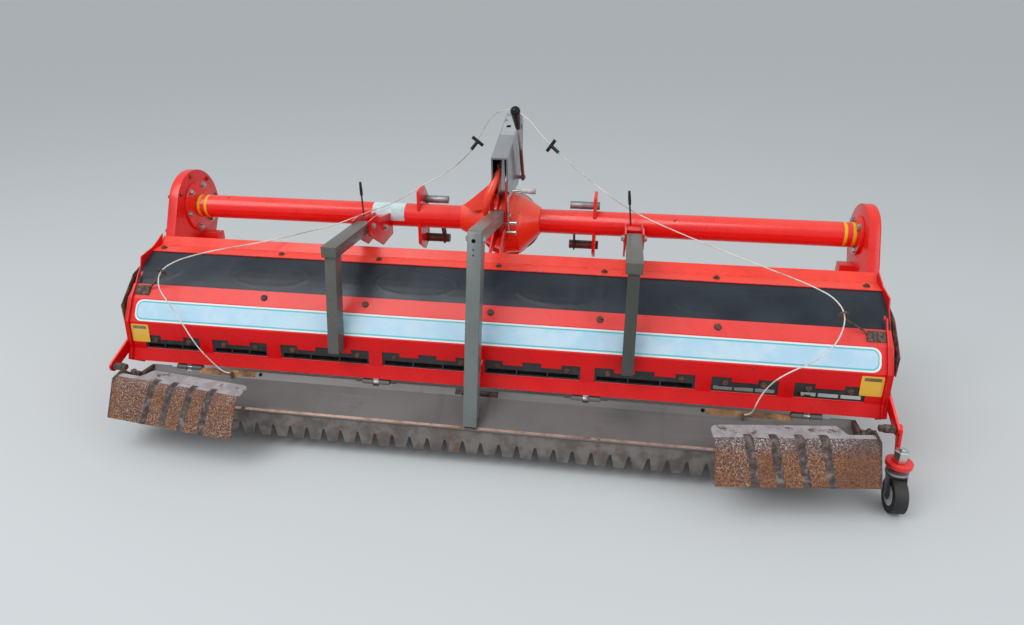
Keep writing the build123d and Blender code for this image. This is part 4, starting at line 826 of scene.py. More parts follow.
tyre_rubber = plastic("tyre_rubber", (0.009, 0.009, 0.010), 1.7, 0.55, dust=0.12)
liner_black = plastic("liner_black", (0.014, 0.014, 0.016), 1.8, 0.42)
hub_grey = plastic("hub_grey", (0.42, 0.43, 0.44), 1.25, 0.45, dust=0.2)
guard_black = plastic("guard_black", (0.016, 0.016, 0.018), 1.8, 0.38)
# Painted shade: a dull near-black without sheen for the inside of the mast, holes and dark slots.
shade_black = plastic("shade_black", (0.004, 0.004, 0.005), 1.3, 0.92, dust=0.0, relief=0.0,
                       specular=0.1)
knob_black = plastic("knob_black", (0.005, 0.005, 0.006), 1.5, 0.14, dust=0.02, relief=0.05,
                     specular=0.3)
handle_black = plastic("handle_black", (0.009, 0.009, 0.011), 1.6, 0.30, dust=0.04, specular=0.3)

apron_rubber, tree, shader, where = start_material("apron_rubber")
cloudy = add(tree, "TexNoise", i0=where, Scale=9.0, Detail=7.0)
base = add_mix(tree, add_step(tree, cloudy.outputs[0], 0.30, 0.70), (0.008, 0.014, 0.023, 1),
               (0.016, 0.024, 0.036, 1))
runs = use_group(tree, scratches, Vector=where, Scale=26.0, Stretch=(1.0, 0.10, 0.10), Level=0.60)
run_share = add_math(tree, "MULTIPLY", runs.outputs[0], 0.04)
base = add_mix(tree, run_share, base, (0.13, 0.12, 0.11, 1))
settled = use_group(tree, settled_dust, Vector=where, Amount=0.03, Scale=6.0)
base = add_mix(tree, settled.outputs[0], base, (0.20, 0.19, 0.18, 1))
spots = use_group(tree, blotches, Vector=where, Scale=70.0, Level=0.74, Softness=0.02)
base = add_mix(tree, add_math(tree, "MULTIPLY", spots.outputs[0], 0.5), base, (0.25, 0.22, 0.19, 1))
tree.links.new(base, shader.inputs["Base Color"])
tree.links.new(add_step(tree, cloudy.outputs[0], 0.3, 0.7, 0.30, 0.46), shader.inputs["Roughness"])
grain = add(tree, "TexNoise", i0=where, Scale=300.0, Detail=3.0)
link_relief(tree, shader, grain.outputs[0], 0.25, 0.0005)

# %% Levelling board plate
board_plate, tree, shader, where = start_material("board_plate")
cloudy = add(tree, "TexNoise", i0=where, Scale=5.0, Detail=7.0)
base = add_mix(tree, add_step(tree, cloudy.outputs[0], 0.32, 0.68), (0.118, 0.108, 0.103, 1),
               (0.160, 0.149, 0.144, 1))
along = use_group(tree, scratches, Vector=where, Scale=60.0, Stretch=(0.04, 1.0, 1.0), Level=0.58)
base = add_mix(tree, add_math(tree, "MULTIPLY", along.outputs[0], 0.16), base,
               (0.24, 0.22, 0.21, 1))
across = use_group(tree, scratches, Vector=where, Scale=45.0, Stretch=(1.0, 0.07, 0.07), Level=0.62)
base = add_mix(tree, add_math(tree, "MULTIPLY", across.outputs[0], 0.16), base,
               (0.07, 0.055, 0.048, 1))
bloom = use_group(tree, blotches, Vector=where, Scale=14.0, Level=0.64, Softness=0.08)
base = add_mix(tree, add_math(tree, "MULTIPLY", bloom.outputs[0], 0.35), base,
               (0.13, 0.075, 0.05, 1))
tree.links.new(base, shader.inputs["Base Color"])
tree.links.new(add_step(tree, cloudy.outputs[0], 0.3, 0.7, 0.36, 0.58), shader.inputs["Roughness"])
shader.inputs["Metallic"].default_value = 0.35
link_relief(tree, shader, along.outputs[0], 0.15, 0.0004)
print("materials:", len(bpy.data.materials))

# %% [markdown]
# ## A finish for every solid
# The solids whose shape is already right keep it and only get their finish here. Those that
# need rolled edges or more detail are replaced further down.

# %% Finishes of the CAD solids
finishes = {
    orange_red: ["gearbox", "mast_bracket"],
    beam_red: ["beam_left", "beam_right"],
    red_gloss: ["hitch_plates", "rear_stand_arm", "chain_case", "bearing_support"],
    cover_red: ["top_cover"],
    red_faded_and_sky_lit: ["rear_panel", "end_plates", "hood_stay", "rear_brackets", "arm_pivot", "saddles"],
    centre_grey: ["centre_arm"],
    arm_grey: ["side_bars", "side_arms"],
    mast_grey: ["mast", "input_cover"],
    cream_enamel: ["front_fork_left", "front_fork_right"],
    black_enamel: ["rear_fork"],
    lock_finish: ["lock_handle"],
    zinc: ["leveller_hangers", "front_stand_left", "front_stand_right", "pto_shaft"],
    pin_grey: ["upper_pins", "rear_stand_stem"],
    pin_steel: ["lower_pins"],
    lever_finish: ["coupler_lever"],
    rake_steel: ["rake"],
    tine_steel: ["rotor_shaft", "rotor_tines"],
    dark_rust: ["fold_brackets", "latch_bracket", "rope_guides", "wing_left", "wing_right"],
    guard_rust: ["side_guards"],
    board_plate: ["leveller"],
    apron_rubber: ["rubber_cover"],
    liner_black: ["slot_inserts"],
    guard_black: ["pto_guard"],
    knob_black: ["lever_knob"],
    handle_black: ["rope_handles"],
    tyre_rubber: ["front_tyre_left", "front_tyre_right", "rear_tyre"],
    hub_grey: ["front_hub_left", "front_hub_right", "rear_hub"],
}
for material, names in finishes.items():
    for name in names:
        mesh = frame["nodes"][name].data
        mesh.materials.clear()
        mesh.materials.append(material)
unfinished = set(frame["nodes"]) - {name for names in finishes.values() for name in names}
print("solids without a finish here:", sorted(unfinished))

# %% [markdown]
# ## Rolled edges
# The solids have mathematically sharp edges, and no real plate does. Each boxy solid is copied,
# its triangles are merged back into flat faces, and a small bevel rolls its edges over. The
# rolled edge catches a line of light, and the worn edges group rubs paint off it. The bevel is
# wider on castings than on sheet.

# %% Roll the edges of the boxy solids
rolled_edges = {
    "chain_case": 3.0, "bearing_support": 2.5, "gearbox": 1.6, "beam_left": 1.2, "beam_right": 1.2,
    "hitch_plates": 1.6, "mast": 1.6, "mast_bracket": 1.2, "hood_stay": 1.2, "centre_arm": 2.2,
    "side_bars": 2.0, "side_arms": 2.0, "saddles": 1.2, "top_cover": 0.9, "rear_panel": 0.9,
    "end_plates": 1.0, "side_guards": 0.8, "latch_bracket": 0.8, "rear_brackets": 1.6,
    "rear_stand_arm": 1.6, "rear_stand_stem": 1.2, "fold_brackets": 0.8, "leveller": 0.8,
    "arm_pivot": 1.2, "leveller_hangers": 0.6, "slot_inserts": 0.6, "upper_pins": 1.4,
    "lower_pins": 1.0, "rear_fork": 1.0, "front_fork_left": 1.0, "front_fork_right": 1.0,
    "input_cover": 1.5, "rake": 0.9, "rope_guides": 0.5, "lock_handle": 0.6,
}
bent_sheet = {"rear_panel": 7, "top_cover": 14, "leveller": 7, "mast": 12, "side_guards": 7}
finish_of_node = {name: material for material, names in finishes.items() for name in names}
rolled = {}
for name, width in rolled_edges.items():
    piece = rolled_copy(name, width, bent_sheet.get(name, 32))
    piece.data.materials.clear()
    piece.data.materials.append(finish_of_node[name])
    rolled[name] = piece
# The right-hand half of the side arms takes the darker copy, as painted shade.
arms = rolled["side_arms"].data
arms.materials.append(arm_grey_shaded)
for face in arms.polygons:
    face.material_index = 1 if face.center.x > 0 else 0
print("rolled:", sum(len(piece.data.polygons) for piece in rolled.values()), "faces in",
      len(rolled), "pieces")

# %% [markdown]
# ## Places on a surface
# Bolts, stickers and bands must sit exactly on the surface that carries them. A ray is shot at
# the solid from outside, and the place where it lands gives the point and the direction there.

# %% Surface finder
trees = {}


def surface_tree(node_name):
    """The search tree of a solid's surface, built once."""
    if node_name not in trees:
        trees[node_name] = BVHTree.FromPolygons(*tidy_mesh(node_name))
    return trees[node_name]


def surface(node_name, start, direction):
    """Where a ray from a place meets a solid, and which way the surface faces there."""
    place, normal, _, _ = surface_tree(node_name).ray_cast(Vector(start),
                                                           Vector(direction).normalized())
    if place is None:
        raise ValueError(f"no {node_name} from {tuple(start)} along {tuple(direction)}")
    return place, normal


place, normal = surface("rear_panel", at(0, -420, 60), (0, 0, -1))
print("panel under the dome bolt at", [round(value, 4) for value in place],
      [round(value, 2) for value in normal])

# %% [markdown]
# ## Bolts, one tree for all
# The machine has dozens of bolts in a few sizes. A Geometry Nodes tree puts the same washer
# and head on each point of a small mesh of points, turned along the direction stored on the
# point and spun by a random angle, because no fitter lines up the flats. Head size, height,
# number of sides and washer size are the tree's inputs, so that hexagon and dome heads come
# from one tree.

# %% Bolt tree
BODY_SHARE, CROWN_SHARE = 0.72, 0.28
bolt_tree, given, result = new_group(
    "bolts_on_points",
    [
        ("Geometry", "Geometry", None), ("Head Radius", "Float", 0.008),
        ("Head Height", "Float", 0.006), ("Crown", "Float", 0.86), ("Sides", "Int", 6),
        ("Washer Radius", "Float", 0.011), ("Washer Height", "Float", 0.0016), ("Seed", "Int", 3),
        ("Finish", "Material", None),
    ],
    [("Geometry", "Geometry")],
    "GeometryNodeTree",
)
size = {socket.name: socket for socket in given.outputs}


def bolt_node(kind, values=None, links=None, **settings):
    """The first output of a node in the bolt tree."""
    return wire(bolt_tree, kind, values, links, **settings).outputs[0]


def bolt_math(operation, first, second):
    """A sum or product of a size with a number or another size."""
    if isinstance(second, float):
        return bolt_node("ShaderNodeMath", {1: second}, {0: first}, operation=operation)
    return bolt_node("ShaderNodeMath", links={0: first, 1: second}, operation=operation)


def head_part(top_radius, height):
    """A part of the head that narrows from the head's radius to its top."""
    return bolt_node("GeometryNodeMeshCone", links={
        "Vertices": size["Sides"], "Radius Top": top_radius,
        "Radius Bottom": size["Head Radius"], "Depth": height})


def lifted(part, height):
    """A part of the bolt, raised by a height."""
    lift = bolt_node("ShaderNodeCombineXYZ", links={"Z": height})
    return bolt_node("GeometryNodeTransform", links={"Geometry": part, "Translation": lift})


washer = bolt_node("GeometryNodeMeshCylinder", {"Vertices": 20},
                   {"Radius": size["Washer Radius"], "Depth": size["Washer Height"]})
body_height = bolt_math("MULTIPLY", size["Head Height"], BODY_SHARE)
body = head_part(size["Head Radius"], body_height)
crown_height = bolt_math("MULTIPLY", size["Head Height"], CROWN_SHARE)
crown = head_part(bolt_math("MULTIPLY", size["Head Radius"], size["Crown"]), crown_height)
bolt = wire(bolt_tree, "GeometryNodeJoinGeometry")
for part, height in (
    (washer, bolt_math("MULTIPLY", size["Washer Height"], 0.5)),
    (body, size["Washer Height"]),
    (crown, bolt_math("ADD", size["Washer Height"], body_height)),
):
    bolt_tree.links.new(lifted(part, height), bolt.inputs[0])
direction = bolt_node("GeometryNodeInputNamedAttribute", {"Name": "direction"},
                      data_type="FLOAT_VECTOR")
aim = bolt_node("FunctionNodeAlignRotationToVector", links={"Vector": direction}, axis="Z")
spin = wire(bolt_tree, "FunctionNodeRandomValue", {2: 0.0, 3: 6.28}, {"Seed": size["Seed"]},
            data_type="FLOAT")
spin_turn = bolt_node("FunctionNodeAxisAngleToRotation", {"Axis": (0, 0, 1)},
                      {"Angle": spin.outputs[1]})
turned = bolt_node("FunctionNodeRotateRotation", links={0: aim, 1: spin_turn},
                   rotation_space="LOCAL")
spread = bolt_node("GeometryNodeInstanceOnPoints", links={
    "Points": size["Geometry"], "Instance": bolt.outputs[0], "Rotation": turned})
real = bolt_node("GeometryNodeRealizeInstances", links={0: spread})
coated = bolt_node("GeometryNodeSetMaterial", links={"Geometry": real, "Material": size["Finish"]})
bolt_tree.links.new(coated, result.inputs[0])


def tree_input(modifier, name, value):
    """Set an input of a Geometry Nodes modifier by its socket's identifier."""
    for item in modifier.node_group.interface.items_tree:
        if item.item_type == "SOCKET" and item.in_out == "INPUT" and item.name == name:
            modifier[item.identifier] = value
            return
    raise ValueError(name)


def bolts(name, rows, body, finish, slot_name, **sizes):
    """Bolts on rows of (point, direction), as one plain mesh on a body."""
    mesh = bpy.data.meshes.new(name)
    mesh.from_pydata([tuple(point) for point, _ in rows], [], [])
    stored = mesh.attributes.new("direction", "FLOAT_VECTOR", "POINT")
    for index, (_, way) in enumerate(rows):
        stored.data[index].vector = Vector(way).normalized()
    piece = put(name, mesh)
    modifier = piece.modifiers.new("bolts", "NODES")
    modifier.node_group = bolt_tree
    tree_input(modifier, "Finish", finish)
    for label, value in sizes.items():
        tree_input(modifier, label.replace("_", " "), value)
    settle(piece, smooth_angle=25)
    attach(piece, body)
    print(name, len(rows), "bolts,", len(piece.data.polygons), "faces")


bolt_rust = rusted("bolt_rust", (0.035, 0.018, 0.013), (0.11, 0.05, 0.03), (0.28, 0.14, 0.08),
                   320.0)
bolt_paint = enamel("bolt_paint", (0.42, 0.004, 0.004), (0.75, 0.09, 0.06), coat=0.1, Fade=0.6,
                    Chips=0.60, Chip_Scale=120.0, Dust_Amount=0.15)

# %% Bolts on the hood, panel and liners
LIP_BOLT_X = (-1046, -655, -344, 21, 328, 640, 1037)
DOME_BOLT_X = (-648, -340, 23, 325, 637)
SLOT_SPANS = ((15, 281), (320, 587), (629, 800), (840, 1016))
SLOT_BOLT_INSET = 36
down, forward = Vector((0, 0, -1)), Vector((0, 1, 0))
lip_rows = [surface("top_cover", at(x, -268, 60), down) for x in LIP_BOLT_X]
bolts("lip_bolts", lip_rows, "frame", bolt_rust, "rusty_plate", Head_Radius=0.0062,
      Head_Height=0.0055, Washer_Radius=0.0095, Seed=4)
dome_rows = [surface("rear_panel", at(x, -419, 60), down) for x in DOME_BOLT_X]
bolts("dome_bolts", dome_rows, "frame", bolt_rust, "rusty_plate", Head_Radius=0.0085,
      Head_Height=0.0055, Crown=0.55, Sides=16, Washer_Radius=0.0098, Washer_Height=0.001, Seed=5)
slot_rows = []
for near, far in SLOT_SPANS:
    for side in (-1, 1):
        for x in (near + SLOT_BOLT_INSET, far - SLOT_BOLT_INSET):
            slot_rows.append(surface("slot_inserts", at(side * x, -560, -277), forward))
bolts("liner_bolts", slot_rows, "frame", bolt_rust, "rusty_plate", Head_Radius=0.0075,
      Head_Height=0.005, Crown=0.6, Sides=12, Washer_Radius=0.0092, Washer_Height=0.001, Seed=6)

# %% Bolts on the ends of the tube and on the chain case
inward, outward = Vector((-1, 0, 0)), Vector((1, 0, 0))
flange_rows = []
for angle in (8, 68, 128, 188, 248, 308):
    place = at(-900, 72 * cos(radians(angle)), 72 * sin(radians(angle)))
    flange_rows.append(surface("beam_left", place, inward))
support_rows = []
for angle in (45, 135, 225, 315):
    place = at(900, 50 * cos(radians(angle)), 50 * sin(radians(angle)))
    support_rows.append(surface("beam_right", place, outward))
bolts("flange_bolts", flange_rows + support_rows, "frame", zinc, "zinc", Head_Radius=0.0088,
      Head_Height=0.0075, Washer_Radius=0.0118, Seed=7)
CASE_BOLTS_INSIDE = ((-20, 106), (72, 78), (-88, 62), (106, 10))
CASE_BOLTS_OUTSIDE = (
    (-20, 106), (72, 78), (-94, 53), (-143, -48), (-193, -150), (-244, -251), (-250, -330),
    (-190, -381), (-108, -358), (-27, -244), (35, -147), (94, -53),
)
case_rows = [surface("chain_case", at(-900, *place), inward) for place in CASE_BOLTS_INSIDE]
case_rows += [surface("chain_case", at(-1300, *place), outward) for place in CASE_BOLTS_OUTSIDE]
bolts("case_bolts", case_rows, "frame", bolt_paint, "red_paint", Head_Radius=0.0062,
      Head_Height=0.005, Washer_Radius=0.0088, Seed=8)

# %% [markdown]
# ## Bands, a blank decal and stickers
# Two yellow bands circle each end of the tube. A long decal with rounded ends crosses the rear
# panel: a white border, a line of cyan and a pale blue field. It stays blank, because lettering
# isn't part of a reusable part, and so do the two yellow stickers and the torn label on the
# tube. Each is a thin film laid on the surface, with its own edge and its own wear.

# %% Film materials
def film(name, colour, patch, patch_level=0.64, rough=0.32, scale=14.0, under=(0.45, 0.01, 0.008)):
    """Printed film: faded in patches, with small holes worn through to the paint."""
    material, tree, shader, where = start_material(name)
    worn = use_group(tree, blotches, Vector=where, Scale=scale, Level=patch_level, Softness=0.10)
    base = add_mix(tree, add_math(tree, "MULTIPLY", worn.outputs[0], 0.7), (*colour, 1),
                   (*patch, 1))
    speck = add(tree, "TexNoise", i0=where, Scale=420.0, Detail=3.0)
    base = add_mix(tree, add_step(tree, speck.outputs[0], 0.50, 0.62, 0.0, 0.16), base, (*patch, 1))
    holes = use_group(tree, blotches, Vector=where, Scale=75.0, Level=0.765, Softness=0.01)
    tree.links.new(add_mix(tree, holes.outputs[0], base, (*under, 1)), shader.inputs["Base Color"])
    tree.links.new(add_step(tree, worn.outputs[0], 0.0, 1.0, rough, rough + 0.25),
                   shader.inputs["Roughness"])
    link_relief(tree, shader, speck.outputs[0], 0.08, 0.0002)
    return material


decal_white = film("decal_white", (0.78, 0.80, 0.80), (0.55, 0.62, 0.64))
decal_cyan = film("decal_cyan", (0.10, 0.50, 0.56), (0.30, 0.58, 0.62))
decal_blue = film("decal_blue", (0.42, 0.64, 0.80), (0.56, 0.71, 0.80), 0.52)
band_yellow = film("band_yellow", (0.82, 0.50, 0.01), (0.80, 0.56, 0.10), 0.62)
sticker_yellow = film("sticker_yellow", (0.78, 0.42, 0.02), (0.70, 0.50, 0.16), 0.58)
sticker_grey = film("sticker_grey", (0.10, 0.085, 0.06), (0.30, 0.24, 0.12), 0.55)
label_white = film("label_white", (0.62, 0.74, 0.76), (0.42, 0.56, 0.58), 0.52, 0.5, 26.0)

# %% Films on the rear panel
PANEL_SHOULDER, PANEL_BEND, PANEL_LOWER_BEND = (-437, -162), (-476, -223), (-483, -305)
FILM_DEPTH = 0.5


def film_on_face(name, low_corner, high_corner, x_range, share_range, lift, corner, material,
                 body="frame", steps=6):
    """A rounded film on the flat face between two bends, at shares of the way across it."""
    start, end = Vector(low_corner), Vector(high_corner)
    width = (end - start).length
    along = (end - start) / width
    out = Vector((-along.y, along.x))
    if out.x > 0:
        out = -out
    near, far = share_range[0] * width, share_range[1] * width
    outline = []
    for centre_x, centre_s, first in (
        (x_range[1] - corner, far - corner, 0), (x_range[0] + corner, far - corner, 90),
        (x_range[0] + corner, near + corner, 180), (x_range[1] - corner, near + corner, 270)
    ):
        for step in range(steps + 1):
            angle = radians(first + 90 * step / steps)
            outline.append((centre_x + corner * cos(angle), centre_s + corner * sin(angle)))
    layers = []
    for height in (lift - FILM_DEPTH, lift):
        flats = [(x, start + along * share + out * height) for x, share in outline]
        layers.append([at(x, flat.x, flat.y) for x, flat in flats])
    piece = new_piece(name, *slab(*layers))
    face_outward(piece)
    finish_piece(piece, body, material)


film_on_face("decal_border", PANEL_BEND, PANEL_SHOULDER, (-1045, 1045), (0.06, 0.96), 0.35, 22,
             decal_white)
film_on_face("decal_line", PANEL_BEND, PANEL_SHOULDER, (-1040, 1040), (0.125, 0.895), 0.6, 19,
             decal_cyan)
film_on_face("decal_field", PANEL_BEND, PANEL_SHOULDER, (-1037, 1037), (0.185, 0.835), 0.85, 16,
             decal_blue)
STICKER_WIDTH, STICKER_MARGIN = 56, 7
for word, edge in (("left", -1056), ("right", 1000)):
    far_edge = edge + STICKER_WIDTH
    film_on_face("sticker_" + word, PANEL_LOWER_BEND, PANEL_BEND, (edge, far_edge), (0.26, 0.93),
                 0.35, 3, sticker_yellow)
    film_on_face("sticker_bar_" + word, PANEL_LOWER_BEND, PANEL_BEND,
                 (edge + STICKER_MARGIN, far_edge - STICKER_MARGIN), (0.76, 0.87), 0.6, 1.5,
                 sticker_grey)


# %% Bands and label on the tube
TUBE_RADIUS = 38.15


def film_on_tube(name, x_start, x_end, lift, material, turn=(0, 360), ragged=0.0, sides=48, seed=1):
    """A film round the tube, or over part of it with torn ends."""
    chance = random.Random(seed)
    radius = TUBE_RADIUS + lift
    whole = turn == (0, 360)
    count = sides if whole else sides + 1
    angles = [radians(turn[0] + (turn[1] - turn[0]) * step / sides) for step in range(count)]
    rows = []
    for place, height in ((0, -0.4), (0, 0), (1, 0), (1, -0.4)):
        row = []
        for angle in angles:
            x = x_end if place else x_start
            x += chance.uniform(-ragged, ragged) * (1 if height == 0 else 0)
            row.append(at(x, (radius + height) * cos(angle), (radius + height) * sin(angle)))
        rows.append(row)
    points = [point for row in rows for point in row]
    piece = new_piece(name, points, row_faces(len(rows), count, close_count=whole))
    finish_piece(piece, "frame", material)


BAND_X, BAND_HALF_WIDTH = (1032, 1057), 4.5
for side, word in ((-1, "left"), (1, "right")):
    for number, middle in enumerate(BAND_X):
        film_on_tube(f"band_{word}_{number}", side * middle - BAND_HALF_WIDTH,
                     side * middle + BAND_HALF_WIDTH, 0.35, band_yellow)
film_on_tube("label", -441, -333, 0.4, label_white, turn=(62, 196), ragged=3.0, sides=24, seed=5)

# %% [markdown]
# ## The rubber apron with its embossed ovals
# The apron has a row of plain ovals whose rims stand about two millimetres proud. Its curve is
# read from the solid by rays, a fine grid follows that curve, and each point of the grid rises
# where it lies near the line of an oval. A slow wave keeps the long sheet from looking ruled.

# %% Rubber apron
OVAL_X = (-1062, -654, -206, 209, 640, 1046)
OVAL_HALF_LENGTH, OVAL_HALF_WIDTH, OVAL_LINE, OVAL_RISE = 120, 41, 3.2, 1.5
OVAL_INSIDE_RISE, FALL_OFF = 0.35, 2.718
APRON_ROWS, APRON_COLUMNS, APRON_SHEET = 36, 420, 4.2
apron_low, apron_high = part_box("rubber_cover")
apron_rows = []
for step in range(APRON_ROWS + 1):
    share = step / APRON_ROWS
    y = apron_high.y - 0.004 + (apron_low.y - apron_high.y + 0.008) * share
    apron_rows.append(surface("rubber_cover", Vector((0.3, y, 0.6)), down))
arc = [0.0]
for (before, _), (after, _) in zip(apron_rows, apron_rows[1:]):
    arc.append(arc[-1] + (after - before).length / MM)
lip_place = next(index for index, (place, _) in enumerate(apron_rows) if place.y < at(0, -291, 0).y)
oval_middle = (arc[lip_place] + arc[-1]) / 2
apron_width = apron_high.x - apron_low.x
columns = [apron_low.x + apron_width * step / APRON_COLUMNS for step in range(APRON_COLUMNS + 1)]
points, faces = [], []
for (place, normal), travelled in zip(apron_rows, arc):
    for x in columns:
        rise = 0.35 * sin(x * 9.0 + 1.0) * sin(pi * travelled / arc[-1]) - 0.4
        for middle in OVAL_X:
            along = (x / MM - middle) / OVAL_HALF_LENGTH
            reach = sqrt(along**2 + ((travelled - oval_middle) / OVAL_HALF_WIDTH) ** 2)
            distance = abs(reach - 1) * OVAL_HALF_WIDTH * (1 + 0.9 * min(1, abs(along)))
            rise += OVAL_RISE * FALL_OFF ** (-((distance / OVAL_LINE) ** 2))
            if reach < 0.94:
                rise += OVAL_INSIDE_RISE
        points.append(Vector((x, place.y, place.z)) + normal * rise * MM)
width = len(columns)
for row in range(len(apron_rows) - 1):
    for column in range(width - 1):
        near = row * width + column
        faces.append([near, near + width, near + width + 1, near + 1])
apron = new_piece("rubber_apron", points, faces, smooth_angle=80)
if apron.data.polygons[0].normal.z < 0:
    apron.data.flip_normals()
thickness = apron.modifiers.new("thickness", "SOLIDIFY")
thickness.thickness = APRON_SHEET * MM
thickness.offset = -1
settle(apron, smooth_angle=60)
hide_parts("rubber_cover")
finish_piece(apron, "frame", apron_rubber)
print("apron:", len(apron.data.polygons), "faces, arc", round(arc[-1]), "mm, ovals at", OVAL_X)

# %% [markdown]
# ## Side levellers
# Each folded side leveller is a bent plate: a smooth grey flange with rounded corners, a soft
# bend, and a rusty face with four ribs pressed into it. One grid of points can carry all of
# that. Its rows follow the section of the plate, its columns run along it, the rows draw
# together where a corner is rounded, and each point rises where a rib is pressed. Solidify then
# gives the steel its thickness, so a rib shows on both sides, as it does on the real plate. The
# plate is drawn in its working place and folded by the same turn as the solid.

# %% The fold and the section of the plate
FOLD_FORWARD, FOLD_UP = -574.9, -362.5
FOLD_PIVOT = at(1018.0, FOLD_FORWARD, FOLD_UP)
FOLD_SLOPE, FOLD_SKEW, FOLD_ANGLE = radians(43.0), radians(2.65), radians(176.0)
fold_line = Vector((
    sin(FOLD_SKEW), -cos(FOLD_SLOPE) * cos(FOLD_SKEW), -sin(FOLD_SLOPE) * cos(FOLD_SKEW)))
fold_turn = Matrix.Rotation(FOLD_ANGLE, 4, fold_line)
fold_turn = Matrix.Translation(FOLD_PIVOT) @ fold_turn @ Matrix.Translation(-FOLD_PIVOT)
WING_START, WING_END = 1028.0, 1424.0
WING_TOP, WING_BEND, WING_EDGE = Vector((-528, -366)), Vector((-534, -434)), Vector((-638, -474))
WING_SHEET, WING_RADIUS = 4.0, 26.0
flange_way, face_way = (WING_BEND - WING_TOP).normalized(), (WING_EDGE - WING_BEND).normalized()
bend_angle = flange_way.angle(face_way)
bend_reach = WING_RADIUS * tan(bend_angle / 2)
FLANGE_END = (WING_BEND - WING_TOP).length - bend_reach
FACE_START = FLANGE_END + WING_RADIUS * bend_angle
FACE_END = FACE_START + (WING_EDGE - WING_BEND).length - bend_reach


def right_of(way):
    return Vector((way.y, -way.x))


def wing_section(travelled):
    """A place (forward, up) on the middle of the plate, and its outward direction."""
    if travelled < FLANGE_END:
        spot, way = WING_TOP + flange_way * travelled, flange_way
    elif travelled < FACE_START:
        turned = (travelled - FLANGE_END) / WING_RADIUS
        way = Matrix.Rotation(-turned, 2) @ flange_way
        centre = WING_TOP + flange_way * FLANGE_END + right_of(flange_way) * WING_RADIUS
        spot = centre - right_of(way) * WING_RADIUS
    else:
        spot, way = WING_BEND + face_way * (bend_reach + travelled - FACE_START), face_way
    return spot + right_of(way) * WING_SHEET / 2, -right_of(way)


print("flange", round(FLANGE_END), "mm, bend to", round(FACE_START), "mm, face to", round(FACE_END),
      "mm")

# %% Ribs, corners and columns of the plate
RIB_CENTRES = (131, 191, 253, 313)
RIB_HALF_WIDTH, RIB_RISE, RIB_LEAN = 13.0, 7.5, 15.0
CORNER_RADIUS, NEAR_CORNER, CUT_END, CUT_DEPTH = 24.0, 10, 70.0, 38.0
FLANGE_ROWS_END, FACE_ROWS, EVEN_COLUMNS = 40.0, 30, 148
FLANGE_MARK, FACE_MARK, RIB_MARK, RIB_MARKED_FROM = 0, 1, 2, 0.12


def soft_step(value, low, high):
    share = min(1.0, max(0.0, (value - low) / (high - low)))
    return share * share * (3 - 2 * share)


def rib_share(along, travelled):
    """How far a place lies into a rib: 0 outside, 1 on its crown."""
    lean = RIB_LEAN * max(0.0, travelled - FACE_START) / (FACE_END - FACE_START)
    for centre in RIB_CENTRES:
        offset = (along - (centre - lean)) / RIB_HALF_WIDTH
        if abs(offset) < 1:
            return 0.5 + 0.5 * cos(pi * offset)
    return 0.0


def rib_height(travelled):
    """The rise of a rib's crown along the section, in millimetres."""
    crown = RIB_RISE * soft_step(travelled, FLANGE_END - 15, FLANGE_END + 6)
    return crown * (1 - 0.78 * soft_step(travelled, FACE_START - 4, FACE_START + 30))


def first_row(along):
    """Where the plate's upper edge lies, with its cut and its rounded corners."""
    start = CUT_DEPTH * (1 - soft_step(along, CUT_END - 4, CUT_END + 16))
    far = WING_END - WING_START - along
    if far < CORNER_RADIUS:
        start += CORNER_RADIUS - sqrt(CORNER_RADIUS**2 - (CORNER_RADIUS - far) ** 2)
    if along < NEAR_CORNER:
        start += NEAR_CORNER - sqrt(NEAR_CORNER**2 - (NEAR_CORNER - along) ** 2)
    return start


end_steps = [CORNER_RADIUS * (1 - cos(pi / 2 * step / 8)) for step in range(8)]
wing_length = WING_END - WING_START
even_length = wing_length - CORNER_RADIUS - NEAR_CORNER
columns = [value * 0.42 for value in end_steps]
columns += [NEAR_CORNER + even_length * step / EVEN_COLUMNS for step in range(EVEN_COLUMNS + 1)]
columns += [wing_length - value for value in reversed(end_steps)]
print("columns:", len(columns), "upper edge:", [round(first_row(x)) for x in (0, 200, wing_length)])

# %% Finishes of the side levellers
wing_rust, tree, shader, where = start_material("wing_rust")
across, _, height = add(tree, "SeparateXYZ", i0=where).outputs
right_share = add_step(tree, across, -0.3, 0.3, 0.35, 1.0)
near_bend = add_step(tree, height, TUBE_Z - 0.358, TUBE_Z - 0.318)
near_bend = add_math(tree, "MULTIPLY", near_bend, right_share)
clouds = add(tree, "TexNoise", i0=where, Scale=6.0, Detail=5.0).outputs[0]
middle = add_mix(tree, add_step(tree, clouds, 0.40, 0.60), (0.165, 0.080, 0.052, 1),
                 (0.33, 0.120, 0.042, 1))
middle = add_mix(tree, near_bend, middle, (0.165, 0.130, 0.136, 1))
bright_part = add_mix(tree, near_bend, (0.50, 0.32, 0.22, 1), (0.60, 0.53, 0.50, 1))
look = use_group(tree, speckled_rust, Vector=where, Dark=(0.070, 0.032, 0.023, 1), Middle=middle,
                 Bright=bright_part, Scale=250.0, Patch_Scale=6.0,
                 Speck_Share=add_step(tree, clouds, 0.40, 0.66, 1.0, 0.25))
link_look(tree, shader, look, 0.6, 0.0009)

flange_steel = plated("flange_steel", (0.42, 0.405, 0.43), (0.30, 0.275, 0.275), 0.40, 0.60,
                      metal=0.2, stain=(0.12, 0.075, 0.055), stain_level=0.60)
rib_rust = rusted("rib_rust", (0.050, 0.034, 0.032), (0.105, 0.076, 0.070), (0.21, 0.170, 0.155),
                  60.0, 9.0)


# %% Plates, end plates and knuckles
END_FACE, END_SHEET = ((-16, -60), (18.9, -80.2), None, (105, -14), (-16, -14)), 5
KNUCKLE_STARTS, KNUCKLE_WEB_X = (-7.0, 37.0), (1018.0, 1029.0)
KNUCKLE_LENGTH, KNUCKLE_RADIUS, KNUCKLE_BORE = 22.0, 9.0, 5.6


